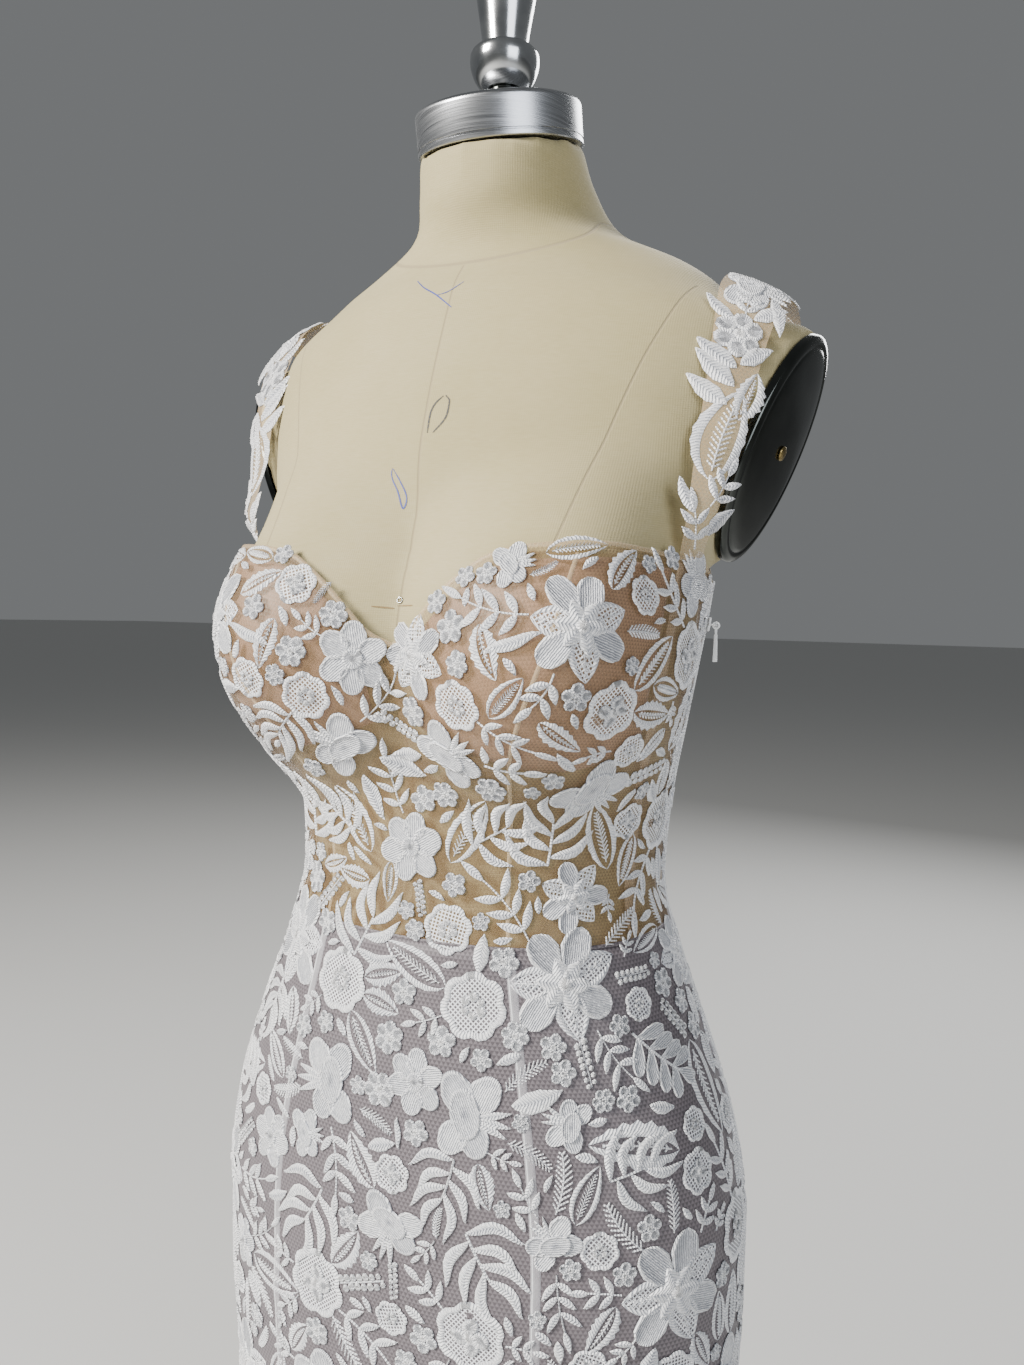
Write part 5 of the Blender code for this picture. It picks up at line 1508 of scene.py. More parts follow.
def blade(
    motif, start, heading, length, width, kind="leaf", bend=0.0, shade=0.5, teeth=0.0, lift=0.0, sway=0.0
):
    """A leaf, petal or narrow blade of satin stitch along a bent spine."""
    rows = PETAL_ROWS if kind == "petal" else LEAF_ROWS
    section = {"leaf": LEAF_SECTION, "petal": PETAL_SECTION, "blade": BLADE_SECTION}[kind]
    columns, heights, shades = (np.array(row) for row in section)
    middle, turn = spine(start, heading, length, bend, rows, sway)
    if kind == "petal":
        form = np.sin(np.pi * np.clip(rows, 0, 1) ** 1.45) ** 0.52
        form[0] = 0.25
    elif kind == "blade":
        form = np.sin(np.pi * rows**0.75) ** 0.62
    else:
        form = np.sin(np.pi * rows**0.86) ** 0.92
    form = np.clip(form, 0.04, 1)
    if teeth:
        form = form * (1 + teeth * (np.arange(len(rows)) % 2 * 2 - 1.0))
    half = width / 2 * form
    side = np.stack([np.cos(turn), -np.sin(turn)], 1)
    flat = middle[:, None] + side[:, None] * (half[:, None] * columns)[..., None]
    ends = np.clip(np.minimum(rows, 1 - rows) * length / 1.2, 0.1, 1)
    height = lift + CORD * heights * ends[:, None]
    points = np.concatenate([flat, height[..., None]], -1)
    along = np.broadcast_to((rows * length)[:, None], height.shape)
    across = half[:, None] * columns
    stitch = 1.5 * across + 0.3 * along if kind == "petal" else along + 0.7 * np.abs(across)
    # Painted light: the motif's shade plus the section's painted highlight on the cords and painted shade in
    # the valleys, evening out to one brighter tone towards the tips.
    rim = np.clip(1.1 - np.minimum(rows, 1 - rows) * length / 1.6, 0, 1)
    painted_light_level = shade + shades + (0.5 - shades) * rim[:, None]
    marks = np.stack([stitch, np.broadcast_to(painted_light_level, stitch.shape)], -1)
    motif.add(points.reshape(-1, 3), grid_faces(len(rows), len(columns)), marks.reshape(-1, 2))


def cord(motif, path, width=1.1, height=1.0, shade=0.7):
    """A raised cord along a flat path."""
    run = np.gradient(path, axis=0)
    run /= np.linalg.norm(run, axis=1, keepdims=True) + 1e-9
    side = np.stack([run[:, 1], -run[:, 0]], 1)
    columns, heights = np.array((-1.0, 0.0, 1.0)), np.array((0.02, 1.0, 0.02))
    flat = path[:, None] + side[:, None] * (width / 2 * columns)[:, None]
    height = np.broadcast_to(CORD * height * heights, flat.shape[:2])
    points = np.concatenate([flat, height[..., None]], -1)
    length = np.broadcast_to(run_along(path)[:, None], height.shape)
    marks = np.stack([length, np.full(height.shape, shade)], -1)
    motif.add(points.reshape(-1, 3), grid_faces(len(path), 3), marks.reshape(-1, 2))


def rosette(
    motif, centre, radius, profile, lobes=0, notch=0.0, sides=None, wide=1.0, heading=0.0, shade=0.5,
    straight=False
):
    """A round or scalloped patch from rings. profile is (share of the radius, height) pairs from the
    rim in; the middle is closed by quads. It is wide times as broad as long along its heading. Its
    stitches fan from the middle, or run straight along it."""
    sides = sides or lobes * 4
    angle = np.arange(sides) / sides * 2 * np.pi
    reach = radius * scallop(angle, lobes, notch)
    rings, marks = [], []
    for share, height in profile:
        ring = reach * share
        x, y = ring * np.sin(angle) * wide, ring * np.cos(angle)
        rings.append(np.stack([x, y, np.full(sides, CORD * height)], -1))
        # Painted light: higher rings are painted lighter and lower ones darker.
        painted_light_level = shade + 0.75 * (height - 0.6)
        marks.append(np.stack([1.5 * x + 0.3 * y if straight else radius * angle, np.full(sides, painted_light_level)], -1))
    rings.append([[0, 0, CORD * profile[-1][1]]])
    marks.append([[0, shade]])
    points = np.vstack(rings)
    tilt = math.radians(heading)
    x, y = points[:, 0].copy(), points[:, 1].copy()
    points[:, 0] = centre[0] + x * math.cos(tilt) + y * math.sin(tilt)
    points[:, 1] = centre[1] - x * math.sin(tilt) + y * math.cos(tilt)
    quads = grid_faces(len(profile), sides, closed=True)[:, ::-1]
    last, middle = (len(profile) - 1) * sides, len(points) - 1
    fan = [[middle, last + (i + 2) % sides, last + i + 1, last + i] for i in range(0, sides, 2)]
    motif.add(points, np.vstack([quads, fan]), np.vstack(marks))


def filling(motif, outline, height=0.12):
    """Open mesh inside an outline with an even number of points, fanned from its middle."""
    count = len(outline)
    points = np.vstack([outline, [(0, 0)]])
    quads = [[count, (i + 2) % count, i + 1, i] for i in range(0, count, 2)]
    motif.add(np.hstack([points, np.full((count + 1, 1), height)]), quads, points, is_open=True)


BARB_SLOPE = math.radians(48.0)  # from the stem
BARB_STEM = 0.7  # width


def barbs(motif, start, heading, length, pairs, reach, bend=0.0, shade=0.75):
    """A fern: short raised stitches to both sides of a fine stem."""
    path, _ = spine(start, heading, length, bend, np.linspace(0, 1, 6))
    cord(motif, path, BARB_STEM, 0.6, shade)
    shares = np.linspace(0.06, 0.97, pairs)
    points, quads, marks = [], [], []
    for share, spot, way in zip(shares, *spine(start, heading, length, bend, shares)):
        size = reach * math.sin(math.pi * (0.18 + 0.78 * share)) ** 0.6
        for hand in (-1, 1):
            ahead = toward(way + hand * BARB_SLOPE)
            side = np.array((ahead[1], -ahead[0])) * 0.5
            first = len(points)
            for along, thick in ((0.0, 1.0), (size, 0.7)):
                for offset, height in ((-1, 0.05), (0, 0.85 * thick), (1, 0.05)):
                    points.append((*(spot + ahead * along + side * offset * thick), CORD * height))
                    marks.append((along, shade))
            quads += [[first + c, first + c + 1, first + c + 4, first + c + 3] for c in (0, 1)]
    motif.add(points, quads, marks)


def leaf_edge(width, rows, teeth=0.0):
    """Half widths along a broad leaf, with saw teeth."""
    half = width / 2 * np.sin(np.pi * rows**0.82) ** 0.75
    saw = 1 + teeth * ((np.arange(len(rows)) % 2) * 2 - 1.0)
    return np.clip(half * saw, 0.3, None)


def banded_leaf(
    motif, start, heading, length, width, band=0.34, teeth=0.0, bend=0.0, mesh=True, shade=0.5
):
    """A broad leaf with a thick stitched band round open mesh and a fern down its middle."""
    rows = np.linspace(0, 1, 15)
    middle, turn = spine(start, heading, length, bend, rows)
    side = np.stack([np.cos(turn), -np.sin(turn)], 1)
    half = leaf_edge(width, rows, teeth)
    inner = np.clip(leaf_edge(width, rows) * (1 - band) - 0.4, 0.05, None)
    columns = np.stack([inner, inner + (half - inner) * 0.45, half], 1)
    ends = np.clip(np.minimum(rows, 1 - rows) * 8, 0.25, 1)[:, None]
    height = CORD * np.array((0.10, 1.0, 0.05)) * ends
    marks = np.stack([(rows * length)[:, None] + 0.6 * columns, np.full(height.shape, shade)], -1)
    quads = grid_faces(len(rows), 3)
    for hand in (-1, 1):
        flat = middle[:, None] + side[:, None] * (hand * columns)[..., None]
        points = np.concatenate([flat, height[..., None]], -1)
        motif.add(points.reshape(-1, 3), quads[:, ::hand], marks.reshape(-1, 2))
    if mesh:
        flat = np.stack([middle - side * inner[:, None], middle + side * inner[:, None]], 1)
        points = np.concatenate([flat, np.full((*flat.shape[:2], 1), 0.10)], -1).reshape(-1, 3)
        motif.add(points, grid_faces(len(rows), 2), points[:, :2], is_open=True)
    pairs = max(5, int(length / 3.6))
    foot = spine(start, heading, length, bend, np.array([0.10]))[0][0]
    barbs(motif, foot, heading, length * 0.76, pairs, max(1.0, inner.max() * 0.72), bend * 0.8, 0.8)


def draw_leaf(motif, rng):
    length, width = motif.size, motif.size * rng.uniform(0.32, 0.44)
    blade(motif, (0, 0), 0, length, width, bend=rng.uniform(-30, 30), shade=rng.uniform(0.3, 0.6), teeth=0.05)


KNOT = ((1.0, 0.35), (0.55, 1.25))  # profile of a small round knot


def draw_berries(motif, rng):
    """Knots in a crowded uneven double row along a bent stem."""
    length = motif.size
    rows = int(length / 3.9)
    bend = rng.uniform(-35, 35)
    middle, turn = spine((0, 0), 0, length, bend, np.linspace(0.08, 0.94, rows))
    for i, (spot, way) in enumerate(zip(middle, turn)):
        size = rng.uniform(1.9, 2.4) - 0.5 * i / rows
        ahead = toward(way)
        for hand in (-1, 1):
            side = np.array((ahead[1], -ahead[0])) * hand * rng.uniform(1.7, 2.6)
            rosette(motif, spot + side + ahead * hand * 0.9, size, KNOT, sides=6, shade=rng.uniform(0.5, 0.9))
    path, _ = spine((0, 0), 0, length, bend, np.linspace(0, 1, 5))
    cord(motif, path, 0.9, 0.6)


def draw_ring_flower(motif, rng):
    radius, petals = motif.size, int(rng.integers(5, 7))
    profile = ((1.0, 0.35), (0.82, 1.15), (0.58, 0.55))
    for i in range(petals):
        aim = 2 * np.pi * i / petals + rng.uniform(-0.1, 0.1)
        size = radius * rng.uniform(0.38, 0.44)
        rosette(motif, toward(aim) * radius * 0.59, size, profile, sides=8, heading=math.degrees(aim))
    rosette(motif, (0, 0), radius * 0.26, ((1.0, 0.4), (0.7, 1.3), (0.3, 0.7)), sides=8, shade=0.85)


ROUND_PETAL = ((1.0, 0.30), (0.91, 1.20), (0.78, 0.50), (0.35, 0.72))  # profile: outline, then satin


def draw_blossom(motif, rng):
    """Five broad notched petals round an outlined middle."""
    radius, petals = motif.size, int(rng.integers(5, 7))
    start = rng.uniform(0, 360)
    for i in range(petals):
        aim = math.radians(start + 360 * i / petals + rng.uniform(-7, 7))
        centre = toward(aim) * radius * rng.uniform(0.54, 0.62)
        rosette(motif, centre, radius * rng.uniform(0.40, 0.46), ROUND_PETAL, lobes=3, notch=0.10, sides=18,
                wide=rng.uniform(0.82, 1.0), heading=math.degrees(aim), shade=rng.uniform(0.44, 0.62),
                straight=True)
    heart = ((1.0, 0.5), (0.86, 1.6), (0.66, 1.0), (0.3, 1.2))
    rosette(motif, (0, 0), radius * 0.30, heart, sides=16, shade=0.15)


# Petals of a flower seen from the side. Columns: heading (degrees), distance out, length, width.
SIDE_PETALS = (
    (-62, 0.52, 0.46, 0.80),
    (4, 0.58, 0.42, 0.86),
    (118, 0.50, 0.38, 0.90),
    (182, 0.56, 0.40, 0.84),
)


def draw_side_blossom(motif, rng):
    """A flower seen from the side: four petals, one broad lip across them, and loops of stamens."""
    radius = motif.size
    for aim, out, long, wide in SIDE_PETALS:
        aim = math.radians(aim + rng.uniform(-10, 10))
        centre = toward(aim) * radius * out
        rosette(motif, centre, radius * long, ROUND_PETAL, lobes=3, notch=0.08, sides=18, wide=wide,
                heading=math.degrees(aim), shade=rng.uniform(0.42, 0.60), straight=True)
    for aim in (38, 58, 78):
        blade(motif, (0.1 * radius, 0.05 * radius), aim + rng.uniform(-5, 5), radius * rng.uniform(0.8, 0.98),
              radius * 0.17, shade=0.5)
    rosette(motif, (-0.08 * radius, 0), radius * 0.54, ((1.0, 0.5), (0.93, 1.7), (0.82, 1.1), (0.4, 1.2)),
            sides=20, wide=0.62, heading=-34 + rng.uniform(-20, 20), shade=0.12, straight=True)


def draw_star_blossom(motif, rng):
    """A double flower: broad pointed outer petals, every other one with open mesh, and an inner
    row round a knot."""
    radius = motif.size
    for i in range(7):
        aim = 360 / 7 * i + rng.uniform(-6, 6)
        foot = 0.12 * radius * toward(math.radians(aim))
        long = radius * rng.uniform(0.80, 0.92)
        if i % 2:
            banded_leaf(motif, foot, aim, long, radius * 0.60, band=0.34, shade=0.6)
        else:
            blade(motif, foot, aim, long, radius * 0.56, kind="petal", bend=rng.uniform(-12, 12),
                  shade=rng.uniform(0.35, 0.5), teeth=0.03)
    for i in range(6):
        aim = 60 * i + 20 + rng.uniform(-8, 8)
        blade(motif, (0, 0), aim, radius * rng.uniform(0.46, 0.56), radius * 0.30, bend=rng.uniform(-12, 12),
              shade=0.5, lift=0.6)
    rosette(motif, (0, 0), radius * 0.12, ((1.0, 1.2), (0.6, 2.2)), sides=10, shade=0.9)


def scalloped_band(motif, radius, lobes, notch, inner):
    """A scalloped rim of satin stitch. Gives the flat ring inside it."""
    sides = lobes * 4
    angle = np.arange(sides) / sides * 2 * np.pi
    reach = radius * scallop(angle, lobes, notch)
    ring = np.stack([np.sin(angle), np.cos(angle)], 1)
    points, marks = [], []
    for share, height in ((1.0, 0.35), ((1 + inner) / 2, 1.2), (inner, 0.15)):
        points.append(np.hstack([ring * (reach * share)[:, None], np.full((sides, 1), CORD * height)]))
        # Painted light: the band's raised middle is painted lighter than its low edges.
        marks.append(np.stack([radius * angle * 0.9, np.full(sides, 0.45 + 0.45 * height)], 1))
    motif.add(np.vstack(points), grid_faces(3, sides, closed=True)[:, ::-1], np.vstack(marks))
    return ring * (reach * (inner + 0.04))[:, None]


def draw_rose(motif, rng):
    """A full rose: a scalloped rim, a ring of open mesh, and two curled rows of petals inside."""
    radius, lobes = motif.size, int(rng.integers(6, 8))
    ring = scalloped_band(motif, radius, lobes, 0.13, 0.80)
    filling(motif, ring)
    for i in range(4):
        aim = math.radians(90 * i + rng.uniform(-15, 15))
        centre = toward(aim) * radius * 0.30
        rosette(motif, centre, radius * 0.27, ((1.0, 0.3), (0.8, 1.2), (0.4, 0.6)), sides=10, wide=0.8,
                heading=math.degrees(aim) + 40, shade=0.55)
    rosette(motif, (0, 0), radius * 0.16, ((1.0, 1.0), (0.5, 1.7)), sides=8, shade=0.8)


def draw_net_rose(motif, rng):
    """A rose whose middle is open mesh with a few knots."""
    ring = scalloped_band(motif, motif.size, 7, 0.12, 0.78)
    filling(motif, ring)
    for i in range(6):
        spot = toward(math.radians(60 * i)) * motif.size * 0.27
        rosette(motif, spot, motif.size * rng.uniform(0.12, 0.17), KNOT, sides=6, shade=rng.uniform(0.6, 0.9))


def draw_frond(motif, rng):
    """Long waving blades that hang to both sides of a bent stem, as a willow's do."""
    length = motif.size
    count = int(rng.integers(7, 9))
    stem, turn = spine((0, 0), 0, length * 0.46, rng.uniform(-40, 40), np.linspace(0, 1, count))
    cord(motif, stem, 1.2, 0.9)
    for i, (foot, way) in enumerate(zip(stem, turn)):
        hand = 1 if i % 2 else -1
        aim = math.degrees(way) + hand * (62 - 54 * i / count) + rng.uniform(-7, 7)
        long = length * rng.uniform(0.50, 0.64)
        blade(motif, foot, aim, long, length * 0.115, bend=-hand * rng.uniform(6, 30),
              sway=hand * rng.uniform(14, 28), shade=rng.uniform(0.4, 0.65))


def draw_fern(motif, rng):
    length = motif.size
    barbs(motif, (0, 0), 0, length, int(length / 2.4), length * 0.15 + 1.2, bend=rng.uniform(-45, 45))


def draw_loop(motif, rng):
    profile = ((1.0, 0.35), (0.84, 1.2), (0.66, 0.55))
    rosette(motif, (0, motif.size / 2), motif.size / 2, profile, sides=12, wide=0.52, shade=0.5)


def draw_loop_leaf(motif, rng):
    """A stem of long drop-shaped loops in pairs, each with satin inside."""
    length = motif.size
    bend = rng.uniform(-22, 22)
    path, _ = spine((0, 0), 0, length * 0.72, bend, np.linspace(0, 1, 7))
    cord(motif, path, 1.3, 1.0)
    shares = np.array([0.12, 0.36, 0.60, 0.84])
    middle, turn = spine((0, 0), 0, length * 0.72, bend, shares)
    for share, spot, way in zip(shares, middle, turn):
        for hand in (-1, 1):
            aim = math.degrees(way) + hand * 50
            blade(motif, spot, aim, length * (0.36 - 0.08 * share), length * 0.145, kind="petal",
                  bend=-hand * 14, shade=0.45)
    tip, _ = spine((0, 0), 0, length * 0.72, bend, np.array([0.98]))
    blade(motif, tip[0], bend / 2, length * 0.27, length * 0.145, kind="petal", shade=0.45)


def draw_jagged_leaf(motif, rng):
    banded_leaf(motif, (0, 0), 0, motif.size, motif.size * rng.uniform(0.46, 0.56), band=0.56, teeth=0.10,
                bend=rng.uniform(-26, 26), mesh=False, shade=rng.uniform(0.5, 0.75))


def draw_open_leaf(motif, rng):
    width = motif.size * 0.46
    banded_leaf(motif, (0, 0), 0, motif.size, width, band=0.26, bend=rng.uniform(-18, 18), shade=0.75)


def draw_vein_leaf(motif, rng):
    banded_leaf(motif, (0, 0), 0, motif.size, motif.size * 0.44, band=0.34, bend=rng.uniform(-24, 24),
                mesh=False, shade=0.7, teeth=0.03)


def draw_band_leaf(motif, rng):
    blade(motif, (0, 0), 0, motif.size, motif.size * 0.2, bend=rng.choice((-50, 50)), sway=20, shade=0.5)


def leaflets(motif, rng, length, stem_share, shares, long, wide):
    """A bent stem with pointed leaflets in pairs and one at its tip."""
    bend = rng.uniform(-34, 34)
    stem = length * stem_share
    path, _ = spine((0, 0), 0, stem, bend, np.linspace(0, 1, 7))
    cord(motif, path, 1.0, 0.8)
    middle, turn = spine((0, 0), 0, stem, bend, np.array(shares))
    for spot, way in zip(middle, turn):
        for hand in (-1, 1):
            aim = math.degrees(way) + hand * rng.uniform(38, 56)
            blade(motif, spot, aim, length * long * rng.uniform(0.85, 1.1), length * wide, bend=-hand * 14,
                  shade=rng.uniform(0.4, 0.65))
    tip, way = spine((0, 0), 0, stem, bend, np.array([0.97]))
    blade(motif, tip[0], math.degrees(way[0]), length * long, length * wide, shade=0.55)


def draw_twig(motif, rng):
    leaflets(motif, rng, motif.size, 0.64, (0.26, 0.64), 0.38, 0.14)


def draw_branch(motif, rng):
    leaflets(motif, rng, motif.size, 0.76, (0.14, 0.38, 0.64), 0.30, 0.092)


# Columns: how it is drawn, size it is drawn at (millimetres), number of variants.
MOTIF_KINDS = {
    "leaf": (draw_leaf, 24, 7),
    "ring_flower": (draw_ring_flower, 9, 4),
    "blossom": (draw_blossom, 21, 4),
    "side_blossom": (draw_side_blossom, 24, 2),
    "star_blossom": (draw_star_blossom, 26, 2),
    "rose": (draw_rose, 14, 3),
    "net_rose": (draw_net_rose, 15, 2),
    "frond": (draw_frond, 46, 3),
    "fern": (draw_fern, 28, 3),
    "berries": (draw_berries, 28, 3),
    "loop": (draw_loop, 13, 1),
    "loop_leaf": (draw_loop_leaf, 48, 2),
    "jagged_leaf": (draw_jagged_leaf, 36, 4),
    "open_leaf": (draw_open_leaf, 28, 3),
    "vein_leaf": (draw_vein_leaf, 50, 3),
    "band_leaf": (draw_band_leaf, 30, 2),
    "twig": (draw_twig, 34, 3),
    "branch": (draw_branch, 56, 3),
}


def motif_library():
    """Every kind of motif in its variants."""
    library = {}
    for number, (kind, (draw, size, variants)) in enumerate(MOTIF_KINDS.items()):
        rng = np.random.default_rng(100 + number)
        made = []
        for _ in range(variants):
            motif = Motif(size)
            draw(motif, rng)
            made.append(motif.done())
        library[kind] = made
    return library


# The large motifs, much as they are raised on the solids, each with its mirror image about the centre
# front. Columns: kind, azimuth, level, reach (radius of a flower with the leaves close round it or
# length of a leaf, in metres), turn (degrees from straight up).
THICK_LACE = (
    ("side_blossom", 12.0, 0.083, 0.034, 0),
    ("star_blossom", 43.0, 0.155, 0.036, 20),
    ("side_blossom", 52.0, 0.066, 0.036, 75),
    ("net_rose", 14.5, 0.112, 0.018, 0),
    ("rose", 55.0, 0.112, 0.021, 0),
    ("rose", 84.0, 0.140, 0.024, 0),
    ("jagged_leaf", 19.0, 0.155, 0.030, 160),
    ("band_leaf", 20.5, 0.140, 0.034, 70),
    ("vein_leaf", 11.0, 0.019, 0.044, 30),
    ("frond", 17.0, 0.030, 0.048, 60),
    ("frond", 39.0, 0.020, 0.055, 5),
    ("vein_leaf", 60.0, 0.016, 0.044, -20),
    ("net_rose", 86.0, 0.040, 0.024, 0),
    ("jagged_leaf", 84.0, 0.085, 0.050, 10),
    ("rose", 112.0, 0.120, 0.024, 0),
    ("star_blossom", 126.0, 0.140, 0.034, 35),
    ("blossom", 122.0, 0.040, 0.034, 0),
    ("frond", 145.0, 0.090, 0.050, -30),
    ("side_blossom", 155.0, 0.040, 0.034, 10),
    ("star_blossom", 42.0, -0.046, 0.042, 15),
    ("net_rose", 17.0, -0.060, 0.024, 0),
    ("side_blossom", 15.0, -0.120, 0.040, 40),
    ("loop_leaf", 60.0, -0.075, 0.060, 130),
    ("frond", 45.0, -0.150, 0.052, 75),
    ("jagged_leaf", 66.0, -0.140, 0.056, -80),
    ("star_blossom", 60.0, -0.215, 0.044, 10),
    ("rose", 15.0, -0.245, 0.026, 0),
    ("frond", 14.0, -0.185, 0.060, 150),
    ("blossom", 14.0, -0.315, 0.042, 0),
    ("vein_leaf", 84.0, -0.090, 0.060, 170),
    ("net_rose", 88.0, -0.200, 0.026, 0),
    ("side_blossom", 122.0, -0.070, 0.042, 30),
    ("frond", 140.0, -0.120, 0.056, -60),
    ("star_blossom", 150.0, -0.200, 0.042, 0),
    ("rose", 118.0, -0.170, 0.026, 0),
    ("loop_leaf", 120.0, -0.260, 0.060, 20),
    ("side_blossom", 84.0, -0.290, 0.042, 0),
    ("star_blossom", 45.0, -0.345, 0.044, 50),
    ("blossom", 130.0, -0.360, 0.044, 10),
    ("net_rose", 163.0, -0.300, 0.026, 0),
    ("frond", 68.0, -0.400, 0.060, 160),
    ("side_blossom", 15.0, -0.440, 0.044, 30),
    ("star_blossom", 75.0, -0.480, 0.046, 0),
    ("blossom", 160.0, -0.460, 0.046, 20),
    ("rose", 115.0, -0.480, 0.028, 0),
    ("loop_leaf", 42.0, -0.520, 0.064, 20),
    ("star_blossom", 14.0, -0.590, 0.046, 0),
    ("side_blossom", 55.0, -0.620, 0.046, 40),
    ("blossom", 92.0, -0.640, 0.046, 0),
    ("star_blossom", 130.0, -0.610, 0.046, 10),
    ("side_blossom", 165.0, -0.640, 0.046, 50),
)
# How much of its reach a flower itself takes.
FLOWER_SHARE = {"blossom": 0.66, "star_blossom": 0.78, "side_blossom": 0.68, "rose": 0.82, "net_rose": 0.82}

MAP_COLUMNS, MAP_ROWS = 1100, 860  # cells of the map of covered cloth, round and up the dress
MAP_TOP = 0.24
GIRTH_COLUMNS, GIRTH_ROWS = 720, 320


class Girth:
    """The dress measured round. A spot is its share of the way round, from the centre front, and its
    level, so that lace can be laid flat from any spot without stretching it."""

    def __init__(self):
        self.levels = np.linspace(HEM - 0.03, MAP_TOP + 0.04, GIRTH_ROWS)
        angles = np.linspace(0, 2 * np.pi, GIRTH_COLUMNS + 1)
        around = surface(angles, self.levels[:, None])
        lengths = np.linalg.norm(np.diff(around, axis=1), axis=-1).cumsum(1)
        self.girth = lengths[:, -1]
        self.shares = np.hstack([np.zeros((GIRTH_ROWS, 1)), lengths / self.girth[:, None]])
        even = np.linspace(0, 1, GIRTH_COLUMNS + 1)
        self.angles = np.array([np.interp(even, row, angles) for row in self.shares])
        self.points = np.array([
            np.stack([np.interp(even, row, ring[:, i]) for i in range(3)], -1)
            for row, ring in zip(self.shares, around)
        ])
        rise = np.gradient(self.points, self.levels, axis=0)
        along = np.gradient(self.points, axis=1)
        along /= np.linalg.norm(along, axis=-1, keepdims=True)
        self.normals = np.cross(along, rise)
        self.drift = (rise * along).sum(-1)
        self.steep = np.sqrt((rise**2).sum(-1) - self.drift**2)

    def read(self, grid, share, level):
        """A grid's value between its cells."""
        row = np.clip((level - self.levels[0]) / (self.levels[1] - self.levels[0]), 0, GIRTH_ROWS - 1.001)
        column = np.clip(share, 0, 1) * (GIRTH_COLUMNS - 0.001)
        i, j = row.astype(int), column.astype(int)
        down, left = row - i, column - j
        if grid.ndim == 3:
            down, left = down[..., None], left[..., None]
        low = grid[i, j] * (1 - left) + grid[i, j + 1] * left
        return low * (1 - down) + (grid[i + 1, j] * (1 - left) + grid[i + 1, j + 1] * left) * down

    def share(self, angle, level):
        turns = np.asarray(angle, float) / (2 * np.pi)
        whole = np.floor(turns)
        return whole + self.read(self.shares, turns - whole, np.asarray(level, float))

    def angle(self, share, level):
        whole = np.floor(share)
        return whole * 2 * np.pi + self.read(self.angles, share - whole, np.asarray(level, float))

    def laid(self, flat, share, level):
        """Shares and levels of flat points (metres) laid about a spot."""
        share, level = np.asarray(share, float), np.asarray(level, float)
        steep = self.read(self.steep, share % 1, level)
        halfway = level + flat[..., 1] / steep / 2
        rise = flat[..., 1] / self.read(self.steep, share % 1, halfway)
        level = level + rise
        drift = self.read(self.drift, share % 1, halfway)
        girth = np.interp(level, self.levels, self.girth)
        return share + (flat[..., 0] - drift * rise) / girth, level


def placed_flat(motif, scale, turn, flip):
    """A motif's flat points in metres after scaling, flipping and turning clockwise."""
    x = motif.points[:, 0] * scale * (-1 if flip else 1)
    y = motif.points[:, 1] * scale
    sine, cosine = math.sin(math.radians(turn)), math.cos(math.radians(turn))
    return np.stack([x * cosine + y * sine, y * cosine - x * sine], 1) * MM


HEM_GROWTH = 0.6  # how much larger the motifs are near the hem
HEM_GROWTH_START = -0.46  # level
HEM_GROWTH_RUN = 0.45  # down from there
LEAVES_ROUND = 9
SPRAY_ROOM = 12  # millimetres of room past which a flower gets leaves round it
HEM_LEAVES = 78
HEM_LEAF_LENGTH = 29  # millimetres
HEM_LEAF_RISE = 0.006
HEM_LEAF_SLOPE = 5  # degrees
HEM_CELLS = 2  # rows of the map above the hem that the other motifs leave free
EDGE_REACH = 0.002  # how far lace may stand above the neckline
LARGE_GAP, SMALL_GAP = 0.0018, 0.0012  # kept free round the large motifs and round the rest
OVERLAP, SPRAY_OVERLAP = 0.06, 0.12  # share of a motif that may lie on others, and of one round a flower
AROUND = (
    "leaf", "leaf", "frond", "jagged_leaf", "berries", "twig", "ring_flower", "vein_leaf", "branch", "fern",
)
AROUND_SIZES = {  # length, or radius of a round one, in millimetres
    "frond": (42, 60), "vein_leaf": (34, 50), "jagged_leaf": (26, 40), "branch": (42, 58), "twig": (24, 36),
    "berries": (20, 34), "fern": (22, 36), "ring_flower": (8, 11), "leaf": (18, 32),
}
ROUND_KINDS = ("blossom", "star_blossom", "side_blossom", "rose", "net_rose", "ring_flower")
ROOM_SIZES = {  # size of a motif for each millimetre of room round its middle
    "blossom": 1.15, "star_blossom": 1.35, "side_blossom": 1.2, "rose": 1.05, "net_rose": 1.05,
    "ring_flower": 1.0, "frond": 3.4, "vein_leaf": 3.2, "jagged_leaf": 3.2, "loop_leaf": 3.4, "branch": 3.8,
    "twig": 3.2, "open_leaf": 3.0, "band_leaf": 4.2, "berries": 4.4, "fern": 4.6, "leaf": 3.4, "loop": 3.2,
}


def hem_growth(level):
    """How much larger the lace is at a level. It grows towards the hem, as on trumpet skirts."""
    return 1 + HEM_GROWTH * np.clip((HEM_GROWTH_START - level) / HEM_GROWTH_RUN, 0, 1)


